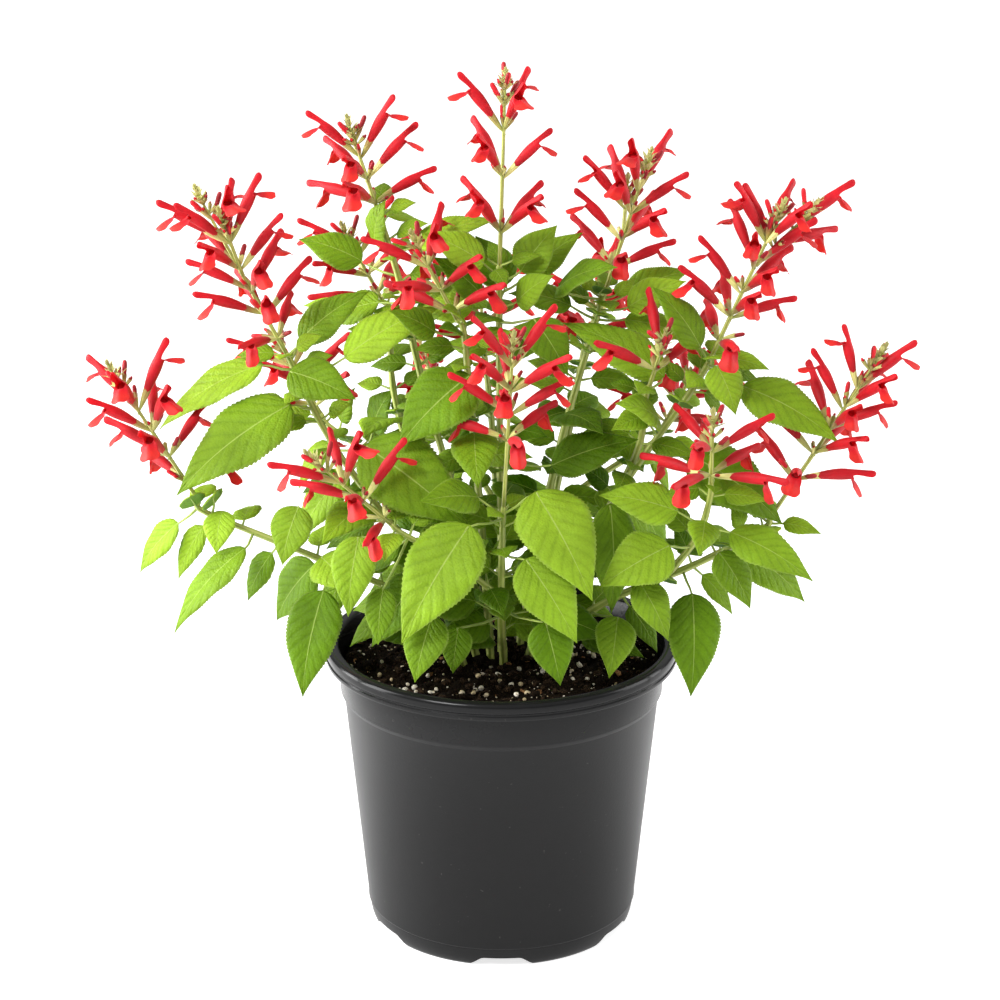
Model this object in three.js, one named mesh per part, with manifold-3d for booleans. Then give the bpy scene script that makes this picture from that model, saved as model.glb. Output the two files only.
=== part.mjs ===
import * as THREE from "three";
import { mergeVertices } from "three/addons/utils/BufferGeometryUtils.js";
import Module from "manifold-3d";

// A pineapple sage in flower, standing in its nursery pot. Millimetres, +Z up.
// The origin is the middle of the flat under the pot, and -Y is the front.

// Driving dimensions of the pot
const potHeight = 159;
const rimRadius = 95;
const rimDrop = 9;
const wall = 1.8;
const collarRadius = 88.6;
const collarBottom = 132;
const shoulderRadius = 84.5;
const footRadius = 69;
const footLineRadius = 72.6;
const footLine = 11.6;
const floorThickness = 3;
const turns = 30;
const notchCount = 6;
const notch = { "top": 21, "bottom": 35, "height": 5.3, "depth": 14 };

// Driving dimensions of the soil
const gap = 0.3;
const soilTop = 148;
const soilRings = 3;
const soilFall = 0.00028;
const holeDepth = 26;
const grainCount = 14;

// Driving dimensions of the plant
const stemWidth = { "foot": 4.8, "top": 2.6 };
const petioleWidth = 1.8;
const bladeThickness = 1.4;
const leafFold = 0.14;
const leafArch = 0.13;
const leafLight = [0, -0.8, 1];
const flower = { "length": 40, "calyx": 11, "calyxWidth": 4.8, "tubeWidth": 5.8, "lip": 10, "lipWidth": 9 };
const budLength = 17;
const vary = { "clock": 9, "length": 0.07, "height": 1.5, "rise": 5 };
const knee = 8;
const keepApart = { "leaf": 5.8, "stalk": 3.6, "flower": 5.4 };

// The stems: the hole each stands in, the points it bends through, its side shoots, and its
// large leaves as blade base, blade tip, width and roll in degrees
const stems = [
  {
    "name": "stem_centre",
    "paths": [[[0, 2, 152], [0, 4, 200], [-1, 7, 280], [-1, 8, 361]]],
    "leaves": [
      [-9, 0, 364, -39, -6, 382, 22, 0],
      [2, 25, 346, -13, 34, 371, 24, 0],
      [-11, 5, 347, -36, -2, 365, 20, 0],
      [10, 12, 357, 28, 14, 381, 23, 0],
      [8, 3, 343, 27, -4, 360, 20, 0],
      [16, -12, 338, 34, -30, 314, 24, 0],
      [14, 24, 352, 40, 34, 374, 20, 0],
      [26, -14, 260, 70, -16, 276, 25, 0],
    ],
  },
  {
    "name": "stem_mid_left",
    "paths": [[[-6, -8, 152], [-10, -10, 220], [-16, -8, 290], [-23, -5, 336]]],
    "leaves": [
      [-34, -16, 332, -56, -24, 346, 18, 0],
      [-16, -22, 311, -53, -42, 280, 38, 0],
    ],
  },
  {
    "name": "stem_left",
    "paths": [[[-14, -3, 152], [-33, -5, 194], [-63, -10, 234], [-89, -10, 273], [-111, -5, 318]]],
    "leaves": [
      [-108, -20, 295, -168, -36, 253, 40, 0],
      [-123, -5, 312, -180, 0, 278, 28, 12],
      [-105, 15, 319, -70, 22, 345, 26, 0],
      [-81, 0, 314, -32, 8, 341, 28, 0],
      [-108, -22, 313, -74, -38, 304, 26, 0],
      [-70, -30, 276, -25, -61, 234, 42, 0],
    ],
  },
  {
    "name": "stem_left_low",
    "paths": [[[-21, -14, 152], [-44, -20, 186], [-95, -28, 214], [-157, -20, 243]]],
    "leaves": [
      [-144, -28, 240, -147, -40, 221, 18, 0],
      [-132, -35, 222, -171, -46, 181, 26, 20],
      [-104, -36, 245, -113, -46, 217, 24, 0],
      [-98, -12, 205, -121, -5, 171, 30, 0],
      [-92, -38, 200, -104, -56, 148, 31, 0],
    ],
  },
  {
    "name": "stem_top_left",
    "paths": [[[-8, 14, 152], [-22, 20, 220], [-43, 28, 298], [-52, 34, 340], [-65, 39, 384]]],
    "leaves": [
      [-74, 50, 353, -107, 54, 365, 24, 0],
      [-66, 36, 366, -57, 30, 391, 22, 0],
      [-46, 28, 366, -3, 20, 384, 21, 0],
    ],
  },
  {
    "name": "stem_right_top",
    "paths": [[[10, 12, 152], [22, 16, 220], [33, 20, 269], [46, 25, 315], [54, 30, 341]]],
    "leaves": [
      [29, 18, 346, 57, 12, 378, 27, 0],
      [66, 38, 338, 100, 46, 350, 20, 0],
      [66, 22, 335, 95, 18, 351, 22, 0],
    ],
  },
  {
    "name": "stem_right",
    "paths": [
      [[15, -3, 152], [41, -5, 205], [62, 0, 242], [93, 0, 288], [109, 0, 316]],
      [[62, 0, 242], [72, -10, 272], [76, -16, 304]],
    ],
    "leaves": [
      [84, -4, 305, 30, -14, 331, 29, 0],
      [81, -15, 285, 55, -32, 312, 21, 0],
      [102, -8, 322, 78, -10, 354, 22, 0],
      [124, -8, 301, 176, -17, 278, 31, 0],
      [110, -15, 314, 120, -27, 292, 22, 0],
      [97, -18, 267, 131, -42, 224, 38, 0],
      [56, -28, 244, 58, -36, 186, 26, 0],
    ],
  },
  {
    "name": "stem_right_low",
    "paths": [
      [[22, -13, 152], [50, -20, 184], [100, -22, 208], [140, -15, 232]],
      [[86, -22, 202], [101, -34, 228], [106, -48, 262]],
    ],
    "leaves": [
      [86, -45, 227, 50, -63, 212, 31, 0],
      [70, -48, 209, 86, -60, 181, 21, 0],
      [99, -32, 196, 99, -51, 146, 30, 0],
      [112, -36, 220, 129, -45, 193, 22, 0],
      [124, -22, 217, 160, -27, 188, 27, 0],
      [60, -40, 186, 56, -62, 160, 22, 0],
    ],
  },
  {
    "name": "stem_front",
    "paths": [
      [[1, -14, 152], [0, -32, 180], [0, -42, 214], [1, -45, 248]],
      [[0, -36, 195], [-24, -50, 220], [-56, -55, 242]],
    ],
    "leaves": [
      [-16, -65, 245, -51, -91, 192, 40, 0],
      [-35, -72, 199, -44, -89, 170, 24, 0],
      [-22, -60, 188, -25, -68, 166, 17, 0],
      [-12, -48, 254, -44, -66, 256, 22, 0],
      [17, -48, 257, 46, -82, 212, 40, 0],
      [12, -68, 228, 35, -90, 190, 31, 0],
      [22, -70, 195, 30, -84, 166, 24, 0],
      [-72, -62, 238, -78, -76, 200, 24, 0],
      [-60, -65, 211, -63, -74, 184, 17, 0],
    ],
  },
  {
    "name": "stem_back_left",
    "paths": [
      [[-18, 12, 152], [-40, 40, 215], [-58, 62, 275], [-64, 70, 326]],
      [[-42, 44, 222], [-72, 72, 238], [-100, 92, 256]],
    ],
    "leaves": [],
  },
  {
    "name": "stem_back",
    "paths": [
      [[0, 24, 152], [-2, 50, 205], [-5, 80, 250], [-9, 102, 286]],
      [[-2, 56, 214], [-18, 92, 230], [-32, 118, 252]],
    ],
    "leaves": [],
  },
  {
    "name": "stem_back_right",
    "paths": [
      [[20, 14, 152], [26, 36, 210], [37, 58, 258], [46, 76, 300]],
      [[27, 40, 218], [58, 64, 232], [88, 82, 250]],
    ],
    "leaves": [],
  },
];

// The flowering heads: foot and tip, whorls of flowers as height above the foot, how many, the
// clock angle of the first (0 right, 90 front, 180 left) and the rise in degrees, then the buds
const sprays = [
  {
    "name": "spray_centre_top",
    "heads": [
      {
        "foot": [-1, 8, 361], "tip": [2, 8, 461],
        "whorls": [[17, 4, 52, 42], [46, 3, 5, 44], [70, 3, 60, 54]],
        "buds": [[82, 2, 30, 60], [90, 2, 100, 70]],
      },
    ],
  },
  {
    "name": "spray_top_left",
    "heads": [
      {
        "foot": [-65, 39, 384], "tip": [-80, 40, 431],
        "whorls": [[3, 3, 150, 20], [15, 3, 10, 36], [27, 2, 0, 50]],
        "buds": [[36, 2, 20, 60]],
      },
    ],
  },
  {
    "name": "spray_left",
    "heads": [
      {
        "foot": [-111, -5, 318], "tip": [-155, -5, 404],
        "whorls": [[8, 2, 60, 15], [22, 4, 20, 31], [36, 3, 60, 38], [50, 3, 10, 45], [64, 3, 70, 52]],
        "buds": [[78, 2, 20, 60]],
      },
      {
        "foot": [-132, -5, 359], "tip": [-142, -20, 396],
        "whorls": [[20, 2, 20, 52]],
        "buds": [[28, 2, 60, 60]],
      },
    ],
  },
  {
    "name": "spray_far_left",
    "heads": [
      {
        "foot": [-157, -20, 243], "tip": [-201, -20, 316],
        "whorls": [[12, 2, 130, 27], [28, 3, 30, 38], [43, 3, 80, 45], [57, 3, 20, 54]],
        "buds": [[70, 2, 60, 60]],
      },
    ],
  },
  {
    "name": "spray_low_left",
    "heads": [
      {
        "foot": [-56, -55, 242], "tip": [-98, -60, 281],
        "whorls": [[5, 2, 80, 12], [19, 3, 30, 29], [32, 3, 80, 43]],
        "buds": [[44, 2, 20, 55]],
      },
    ],
  },
  {
    "name": "spray_mid_left",
    "heads": [
      {
        "foot": [-23, -5, 336], "tip": [-46, -10, 382],
        "whorls": [[4, 2, 150, 18], [18, 3, 110, 29], [32, 3, 60, 45]],
        "buds": [[42, 2, 10, 60]],
      },
    ],
  },
  {
    "name": "spray_centre_front",
    "heads": [
      {
        "foot": [1, -45, 248], "tip": [6, -50, 340],
        "whorls": [[36, 3, 45, 20], [50, 4, 0, 35], [63, 3, 100, 43], [74, 2, 20, 54]],
        "buds": [[82, 2, 40, 60]],
      },
    ],
  },
  {
    "name": "spray_right_top",
    "heads": [
      {
        "foot": [54, 30, 341], "tip": [77, 25, 417],
        "whorls": [[14, 3, 20, 27], [30, 3, 60, 36], [45, 3, 0, 45], [57, 2, 60, 54]],
        "buds": [[67, 2, 20, 60]],
      },
      {
        "foot": [63, 28, 370], "tip": [66, 46, 399],
        "whorls": [[16, 1, 200, 50]],
        "buds": [[22, 2, 100, 60]],
      },
    ],
  },
  {
    "name": "spray_right",
    "heads": [
      {
        "foot": [109, 0, 316], "tip": [144, 0, 396],
        "whorls": [[8, 2, 100, 15], [22, 4, 10, 31], [36, 3, 55, 38], [50, 3, 20, 45], [64, 3, 70, 54]],
        "buds": [[74, 2, 20, 60]],
      },
      {
        "foot": [130, 0, 363], "tip": [164, 14, 393],
        "whorls": [[14, 2, 20, 31], [27, 1, 0, 50]],
        "buds": [[36, 2, 10, 60]],
      },
    ],
  },
  {
    "name": "spray_far_right",
    "heads": [
      {
        "foot": [140, -15, 232], "tip": [197, -11, 323],
        "whorls": [[24, 3, 10, 24], [40, 3, 55, 34], [55, 3, 10, 43], [69, 3, 60, 50], [81, 2, 0, 59]],
        "buds": [[94, 2, 60, 60]],
      },
    ],
  },
  {
    "name": "spray_low_right",
    "heads": [
      {
        "foot": [106, -48, 262], "tip": [106, -54, 301],
        "whorls": [[4, 4, 60, 8], [17, 3, 15, 27]],
        "buds": [[29, 2, 60, 45]],
      },
    ],
  },
  {
    "name": "spray_mid_right",
    "heads": [
      {
        "foot": [76, -16, 304], "tip": [84, -22, 334],
        "whorls": [[8, 2, 30, 29], [18, 1, 110, 46]],
        "buds": [[24, 2, 40, 60]],
      },
    ],
  },
  {
    "name": "spray_back_left",
    "heads": [
      {
        "foot": [-64, 70, 326], "tip": [-86, 77, 366],
        "whorls": [[4, 3, 190, 18], [16, 3, 230, 31], [28, 2, 180, 45]],
        "buds": [[36, 2, 20, 60]],
      },
    ],
  },
  {
    "name": "spray_back_far_left",
    "heads": [
      {
        "foot": [-100, 92, 256], "tip": [-127, 110, 294],
        "whorls": [[6, 3, 200, 22], [19, 3, 240, 34], [31, 2, 200, 45]],
        "buds": [[40, 2, 250, 60]],
      },
    ],
  },
  {
    "name": "spray_back",
    "heads": [
      {
        "foot": [-9, 102, 286], "tip": [-13, 126, 330],
        "whorls": [[6, 3, 215, 20], [19, 3, 260, 31], [31, 2, 210, 45]],
        "buds": [[40, 2, 250, 60]],
      },
    ],
  },
  {
    "name": "spray_back_low",
    "heads": [
      {
        "foot": [-32, 118, 252], "tip": [-47, 140, 284],
        "whorls": [[6, 3, 230, 20], [18, 2, 280, 34]],
        "buds": [[28, 2, 250, 55]],
      },
    ],
  },
  {
    "name": "spray_back_right",
    "heads": [
      {
        "foot": [46, 76, 300], "tip": [60, 96, 344],
        "whorls": [[6, 3, 250, 20], [19, 3, 290, 31], [31, 2, 250, 45]],
        "buds": [[40, 2, 250, 60]],
      },
    ],
  },
  {
    "name": "spray_back_far_right",
    "heads": [
      {
        "foot": [88, 82, 250], "tip": [112, 100, 288],
        "whorls": [[6, 3, 300, 20], [18, 3, 250, 31], [30, 2, 290, 45]],
        "buds": [[38, 2, 250, 60]],
      },
    ],
  },
];

// Leaf pairs that fill the stems between the large leaves: the first height along the path, the
// step, and the length of a blade low down and at the top
const fill = { "start": 30, "end": 18, "step": 54, "low": 52, "top": 26, "stalk": 15, "rise": 14 };

// Vectors as lists of three numbers
const add = (a, b) => [a[0] + b[0], a[1] + b[1], a[2] + b[2]];
const sub = (a, b) => [a[0] - b[0], a[1] - b[1], a[2] - b[2]];
const times = (a, k) => [a[0] * k, a[1] * k, a[2] * k];
const dot = (a, b) => a[0] * b[0] + a[1] * b[1] + a[2] * b[2];
const size = (a) => Math.sqrt(dot(a, a));
const unit = (a) => times(a, 1 / size(a));
const cross = (a, b) => [
  a[1] * b[2] - a[2] * b[1],
  a[2] * b[0] - a[0] * b[2],
  a[0] * b[1] - a[1] * b[0],
];
const mix = (a, b, k) => add(times(a, 1 - k), times(b, k));
const radians = (degrees) => (degrees * Math.PI) / 180;
const turned = (a, axis, degrees) => {
  const c = Math.cos(radians(degrees));
  const s = Math.sin(radians(degrees));
  return add(add(times(a, c), times(cross(axis, a), s)), times(axis, dot(axis, a) * (1 - c)));
};

// A smooth curve through a list of points, with its direction
function along(points, t) {
  const last = points.length - 1;
  const i = Math.min(Math.floor(t * last), last - 1);
  const k = t * last - i;
  const b = points[i];
  const c = points[i + 1];
  const a = i > 0 ? points[i - 1] : sub(times(b, 2), c);
  const d = i + 2 <= last ? points[i + 2] : sub(times(c, 2), b);
  return [0, 1, 2].map((n) => {
    const bend = 2 * a[n] - 5 * b[n] + 4 * c[n] - d[n];
    const swing = 3 * b[n] - a[n] - 3 * c[n] + d[n];
    return 0.5 * (2 * b[n] + (c[n] - a[n]) * k + bend * k * k + swing * k * k * k);
  });
}

function heading(points, t) {
  const step = 0.01;
  return unit(sub(along(points, Math.min(1, t + step)), along(points, Math.max(0, t - step))));
}

function samples(points, spacing) {
  let length = 0;
  for (let i = 1; i < points.length; i += 1) length += size(sub(points[i], points[i - 1]));
  const count = Math.ceil(length / spacing);
  return Array.from({ length: count + 1 }, (_, i) => along(points, i / count));
}

// A repeatable draw between -1 and 1
let seed = 4815;
function draw() {
  seed = (seed * 16807) % 2147483647;
  return (2 * seed) / 2147483647 - 1;
}

// The growing room: each piece that is placed leaves points behind, and the next one bends
// until it keeps its distance from them
const cell = 8;
const room = new Map();
const cellOf = (p) => p.map((v) => Math.floor(v / cell));
const keyOf = (x, y, z) => (x + 100) * 1000000 + (y + 100) * 1000 + z + 100;

function occupy(points, owner) {
  for (const p of points) {
    const key = keyOf(...cellOf(p));
    if (!room.has(key)) room.set(key, []);
    room.get(key).push([p, owner]);
  }
}

function isClear(points, distance, ignore) {
  for (const p of points) {
    if (p[2] < potHeight + 3 && size([p[0], p[1], 0]) < rimRadius + 5) return false;
    const [x, y, z] = cellOf(p);
    for (let i = x - 1; i <= x + 1; i += 1) {
      for (let j = y - 1; j <= y + 1; j += 1) {
        for (let k = z - 1; k <= z + 1; k += 1) {
          for (const [q, owner] of room.get(keyOf(i, j, k)) ?? []) {
            if (owner !== ignore && size(sub(p, q)) < distance) return false;
          }
        }
      }
    }
  }
  return true;
}

// The ways a piece may bend off its chosen pose: swing round the upright, then lift
const bends = [[0, 0]];
const ways = [[1, 0], [-1, 0], [0, 1], [0, -1], [1, 1], [-1, 1], [1, -1], [-1, -1]];
for (const reach of [10, 20, 30, 42]) {
  for (const [swing, lift] of ways) bends.push([swing * reach, lift * reach * 0.7]);
}

function bent(vector, [swing, lift]) {
  const upright = [0, 0, 1];
  const level = Math.sqrt(vector[0] * vector[0] + vector[1] * vector[1]);
  const swung = turned(vector, upright, swing);
  if (level < 0.001) return swung;
  return turned(swung, unit(cross(swung, upright)), lift);
}

// A leaf: its blade curves from base to tip over one arch, folds up along the midrib, and turns
// its face to the light, which comes from above and from the front
const outline = (s) => 3.2 * Math.pow(s, 0.6) * Math.pow(1 - s, 1.25);

function shapeLeaf(base, tip, width, roll, root) {
  const run = sub(tip, base);
  const axis = unit(run);
  const middle = mix(base, tip, 0.5);
  const outward = unit([middle[0], middle[1], 0.001]);
  const facing = add(leafLight, times(outward, 0.3));
  const flat = unit(sub(facing, times(axis, dot(facing, axis))));
  const normal = turned(flat, axis, roll);
  const side = cross(axis, normal);
  const crest = add(middle, times(normal, size(run) * leafArch));
  return { base, tip, width, root, axis, normal, side, crest };
}

function onLeaf(leaf, s, across, height) {
  const early = mix(leaf.base, leaf.crest, s);
  const late = mix(leaf.crest, leaf.tip, s);
  const lift = height + Math.abs(across) * leafFold;
  return add(mix(early, late, s), add(times(leaf.side, across), times(leaf.normal, lift)));
}

function leafRoom(leaf) {
  const points = [];
  for (let i = 1; i <= 8; i += 1) {
    const s = i / 8.5;
    for (const k of [-0.9, -0.45, 0, 0.45, 0.9]) {
      points.push(onLeaf(leaf, s, (k * leaf.width * outline(s)) / 2, 0));
    }
  }
  return points;
}

function stalkRoom(leaf) {
  const points = [];
  const stalk = size(sub(leaf.base, leaf.root));
  for (let d = 5; d < stalk; d += 3) points.push(mix(leaf.root, leaf.base, d / stalk));
  return points;
}

function growLeaf(stem, base, tip, width, roll, root) {
  for (const bend of bends) {
    const shaped = shapeLeaf(base, add(base, bent(sub(tip, base), bend)), width, roll, root);
    const blade = leafRoom(shaped);
    const stalk = stalkRoom(shaped);
    if (isClear(blade, keepApart.leaf, stem.name) && isClear(stalk, keepApart.stalk, stem.name)) {
      occupy(blade.concat(stalk), `${stem.name} leaf`);
      stem.grown.push(shaped);
      return;
    }
  }
}

// The stem point that a leaf's stalk starts from: near its blade, and rather below it
function rootOf(stem, base) {
  let best = null;
  let least = Infinity;
  for (const path of stem.paths) {
    for (const p of samples(path, 3)) {
      const atEnd = size(sub(p, path[path.length - 1])) < 4;
      const far = size(sub(p, base)) + (p[2] > base[2] - 3 ? 12 : 0) + (atEnd ? 100 : 0);
      if (far < least) {
        least = far;
        best = p;
      }
    }
  }
  return best;
}

// A flower or bud grows from its stalk at a clock angle, and rights itself halfway to the vertical
function reach(head, height, clock, rise, length) {
  const stalk = unit(sub(head.tip, head.foot));
  const up = unit(add(stalk, [0, 0, 1]));
  const right = unit(cross([0, 1, 0], up));
  const front = cross(right, up);
  const out = add(times(right, Math.cos(radians(clock))), times(front, -Math.sin(radians(clock))));
  const aim = add(times(out, Math.cos(radians(rise))), times(up, Math.sin(radians(rise))));
  return { "start": add(head.foot, times(stalk, height)), up, aim, length };
}

function flowerPath(piece) {
  const { start, aim, length } = piece;
  const nod = length * 0.06;
  return [start, add(start, times(aim, length * 0.5)), add(add(start, times(aim, length)), [0, 0, -nod])];
}

function growFlower(spray, head, height, clock, rise, length) {
  for (const [swing, lift] of bends) {
    const piece = reach(head, height, clock + swing, rise + lift, length);
    const points = samples(flowerPath(piece), 3.5).slice(3);
    const lip = add(points[points.length - 2], times(piece.up, -7));
    if (length === budLength) points.push(...samples(flowerPath(piece), 3).slice(2));
    else points.push(lip);
    if (isClear(points, keepApart.flower, spray.name)) {
      occupy(points, `${spray.name} flower`);
      spray.grown.push(piece);
      return;
    }
  }
}

// Grow the whole plant: rim, stems and stalks first, then flowers, large leaves and filling leaves
const rim = Array.from({ length: 100 }, (_, i) => {
  const angle = radians(i * 3.6);
  return [rimRadius * Math.cos(angle), rimRadius * Math.sin(angle), potHeight - 3];
});
occupy(rim, "pot");
for (const stem of stems) {
  stem.grown = [];
  for (const path of stem.paths) {
    // A stem that carries a head comes up in line with it
    const end = path[path.length - 1];
    const carried = sprays.find(({ heads }) => size(sub(heads[0].foot, end)) < 1);
    const up = carried ? unit(sub(carried.heads[0].tip, carried.heads[0].foot)) : [0, 0, 1];
    if (carried) path.splice(path.length - 1, 0, sub(end, times(up, knee)));
    occupy(samples(path, 4), stem.name);
  }
}
for (const spray of sprays) {
  spray.grown = [];
  for (const head of spray.heads) occupy(samples([head.foot, head.tip], 4), spray.name);
}
for (const stem of stems) {
  for (const [x, y, z, tipX, tipY, tipZ, width, roll] of stem.leaves) {
    const base = [x, y, z];
    growLeaf(stem, base, [tipX, tipY, tipZ], width, roll, rootOf(stem, base));
  }
}
for (const spray of sprays) {
  for (const head of spray.heads) {
    for (const [height, count, first, rise] of head.whorls) {
      for (let i = 0; i < count; i += 1) {
        const clock = first + (360 * i) / count + vary.clock * draw();
        const length = flower.length * (1 + vary.length * draw());
        const from = height + vary.height * draw();
        growFlower(spray, head, from, clock, rise + vary.rise * draw(), length);
      }
    }
    for (const [height, count, first, rise] of head.buds) {
      for (let i = 0; i < count; i += 1) {
        growFlower(spray, head, height, first + (360 * i) / count, rise, budLength);
      }
    }
  }
}
for (const stem of stems) {
  for (const path of stem.paths) {
    let length = 0;
    for (let i = 1; i < path.length; i += 1) length += size(sub(path[i], path[i - 1]));
    let pair = 0;
    for (let d = fill.start; d < length - fill.end; d += fill.step) {
      const t = d / length;
      const root = along(path, t);
      const up = heading(path, t);
      const blade = fill.low + (fill.top - fill.low) * t * t;
      const level = unit(cross(up, [0.2, 1, 0]));
      for (const half of [0, 180]) {
        const out = turned(level, up, half + 90 * (pair % 2) + 15 * draw());
        const aim = unit(add(out, times([0, 0, 1], Math.sin(radians(fill.rise + 10 * draw())))));
        const base = add(root, times(aim, fill.stalk));
        const droop = [0, 0, -blade * 0.25];
        const tip = add(add(base, times(aim, blade * (0.9 + 0.1 * draw()))), droop);
        growLeaf(stem, base, tip, blade * 0.54, 0, root);
      }
      pair += 1;
    }
  }
}

// Solids: three.js geometry goes into manifold-3d to be joined or cut, and comes back
const wasm = await Module();
wasm.setup();

function solid(geometry) {
  const bare = geometry.clone();
  bare.deleteAttribute("normal");
  bare.deleteAttribute("uv");
  const merged = mergeVertices(bare, 0.0001);
  const vertProperties = new Float32Array(merged.attributes.position.array);
  const triVerts = new Uint32Array(merged.index.array);
  return new wasm.Manifold(new wasm.Mesh({ numProp: 3, vertProperties, triVerts }));
}

function geometryOf(body) {
  const { vertProperties, triVerts } = body.getMesh();
  const geometry = new THREE.BufferGeometry();
  geometry.setAttribute("position", new THREE.BufferAttribute(vertProperties, 3));
  geometry.setIndex(new THREE.BufferAttribute(triVerts, 1));
  return geometry;
}

function meshOf(vertices, triangles) {
  const geometry = new THREE.BufferGeometry();
  geometry.setAttribute("position", new THREE.Float32BufferAttribute(vertices.flat(), 3));
  geometry.setIndex(triangles.flat());
  return geometry;
}

const fuse = (bodies) => bodies.reduce((whole, next) => whole.add(next));

// A turned shape stood along a path: its height becomes the way along, its width stays square
// to the path, and facing says which way its first corner looks
function turnedAlong(profile, sides, path, facing) {
  const outlinePoints = profile.map(([radius, height]) => new THREE.Vector2(radius, height));
  const geometry = new THREE.LatheGeometry(outlinePoints, sides);
  const position = geometry.attributes.position;
  for (let i = 0; i < position.count; i += 1) {
    const t = Math.min(1, Math.max(0, position.getY(i)));
    const forward = heading(path, t);
    const side = unit(cross(forward, facing));
    const front = cross(side, forward);
    const spread = add(times(side, position.getX(i)), times(front, position.getZ(i)));
    position.setXYZ(i, ...add(along(path, t), spread));
  }
  return solid(geometry);
}

// A square stem that thins towards its end
function stemPiece(path, from, to, steps) {
  const profile = [[0, 0]];
  for (let i = 0; i <= steps; i += 1) profile.push([(from + ((to - from) * i) / steps) / 2, i / steps]);
  profile.push([0, 1]);
  return turnedAlong(profile, 4, path, [0.2, 1, 0]);
}

// A toothed blade with its three-sided stalk: upper and lower midrib points, and sharp edges
// that both faces share
function leafPiece(leaf) {
  const pairs = Math.min(5, Math.max(2, Math.round(size(sub(leaf.tip, leaf.base)) / 15)));
  const vertices = [];
  const triangles = [];
  const point = (p) => vertices.push(p) - 1;
  const half = petioleWidth / 2;
  const stalk = unit(sub(leaf.base, leaf.root));
  const stalkSide = unit(cross(stalk, leaf.normal));
  const stalkTop = cross(stalkSide, stalk);
  const start = sub(leaf.root, times(stalk, 0.4));
  const foot = [
    point(add(start, times(stalkSide, half))),
    point(add(start, times(stalkSide, -half))),
    point(sub(start, times(stalkTop, half))),
  ];
  const edge = { 1: [], "-1": [] };
  const rib = { 1: [], "-1": [] };
  for (let k = 0; k < 2 * pairs; k += 1) {
    const s = k / (2 * pairs);
    const isTooth = k % 2 === 1;
    const spread = k === 0 ? half : (leaf.width / 2) * outline(s) * (isTooth ? 1 : 0.87);
    for (const way of [1, -1]) {
      edge[way].push(point(onLeaf(leaf, s + (isTooth ? 0.35 / pairs : 0), spread * way, 0)));
      if (!isTooth) rib[way].push(point(onLeaf(leaf, s, 0, (way * bladeThickness) / 2)));
    }
  }
  const tip = point(onLeaf(leaf, 1, 0, 0));
  const face = (flip, a, b, c) => triangles.push(flip ? [a, c, b] : [a, b, c]);
  for (const up of [1, -1]) {
    for (const way of [1, -1]) {
      for (let j = 0; j < pairs; j += 1) {
        const flip = up * way < 0;
        const tooth = edge[way][2 * j + 1];
        const next = rib[up][j + 1] ?? tip;
        if (j > 0 || up < 0) face(flip, rib[up][j], edge[way][2 * j], tooth);
        if (j > 0 || up < 0) face(flip, rib[up][j], tooth, next);
        if (j === 0 && up > 0) face(flip, edge[way][0], tooth, next);
        if (j + 1 < pairs) face(flip, next, tooth, edge[way][2 * j + 2]);
      }
    }
  }
  face(false, edge[1][0], rib[1][1], edge[-1][0]);
  const neck = [edge[1][0], edge[-1][0], rib[-1][0]];
  for (let i = 0; i < 3; i += 1) {
    const j = (i + 1) % 3;
    triangles.push([foot[i], neck[j], foot[j]], [foot[i], neck[i], neck[j]]);
  }
  triangles.push(foot);
  return solid(meshOf(vertices, triangles));
}

// An open flower: calyx, tube that widens to the mouth, straight hood and a hanging lower lip,
// three-sided with one corner under it, which opens into the lip
function flowerPiece(piece) {
  const path = flowerPath(piece);
  const calyx = (0.8 * flower.calyx) / piece.length;
  const mouth = 0.74;
  const stations = [[calyx, flower.calyxWidth / 2], [mouth, flower.tubeWidth / 2]];
  const vertices = [path[0]];
  for (const [t, radius] of stations) {
    const forward = heading(path, t);
    const side = unit(cross(forward, piece.up));
    const top = cross(side, forward);
    const middle = along(path, t);
    vertices.push(add(middle, add(times(side, radius), times(top, 0.5 * radius))));
    vertices.push(add(middle, add(times(side, -radius), times(top, 0.5 * radius))));
    vertices.push(sub(middle, times(top, radius)));
  }
  const forward = heading(path, mouth);
  const side = unit(cross(forward, piece.up));
  const top = cross(side, forward);
  const under = vertices[6];
  const waist = add(under, add(times(top, -0.55 * flower.lip), times(forward, 0.4 * flower.lip)));
  vertices.push(add(under, times(forward, 1.6)));
  vertices.push(add(waist, times(side, flower.lipWidth / 2)), add(waist, times(side, -flower.lipWidth / 2)));
  vertices.push(add(under, add(times(top, -0.9 * flower.lip), times(forward, 0.55 * flower.lip))));
  vertices.push(along(path, 1));
  const triangles = [[0, 1, 2], [0, 2, 3], [0, 3, 1]];
  for (let i = 1; i <= 3; i += 1) {
    const j = (i % 3) + 1;
    triangles.push([i, i + 3, j], [j, i + 3, j + 3]);
  }
  triangles.push([4, 11, 5], [5, 11, 7], [7, 11, 4]);
  triangles.push([4, 6, 8], [4, 8, 7], [5, 9, 6], [5, 7, 9]);
  triangles.push([7, 8, 10], [7, 10, 9], [8, 6, 10], [6, 9, 10]);
  return solid(meshOf(vertices, triangles));
}

function budPiece(piece) {
  return turnedAlong([[0, 0], [2.2, 0.55], [0, 1]], 3, flowerPath(piece), piece.up);
}

// The pointed bracts that crowd at the end of a head
function headTip(head) {
  const up = unit(sub(head.tip, head.foot));
  const path = [sub(head.tip, times(up, 9)), sub(head.tip, times(up, 1)), add(head.tip, times(up, 6))];
  const pieces = [turnedAlong([[0, 0], [3.2, 0.5], [0, 1]], 4, path, [0.2, 1, 0])];
  for (const clock of [20, 200]) {
    const bract = reach(head, size(sub(head.tip, head.foot)) - 5, clock, 52, 10);
    pieces.push(turnedAlong([[0, 0], [1.5, 0.5], [0, 1]], 3, flowerPath(bract), up));
  }
  return pieces;
}

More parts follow.
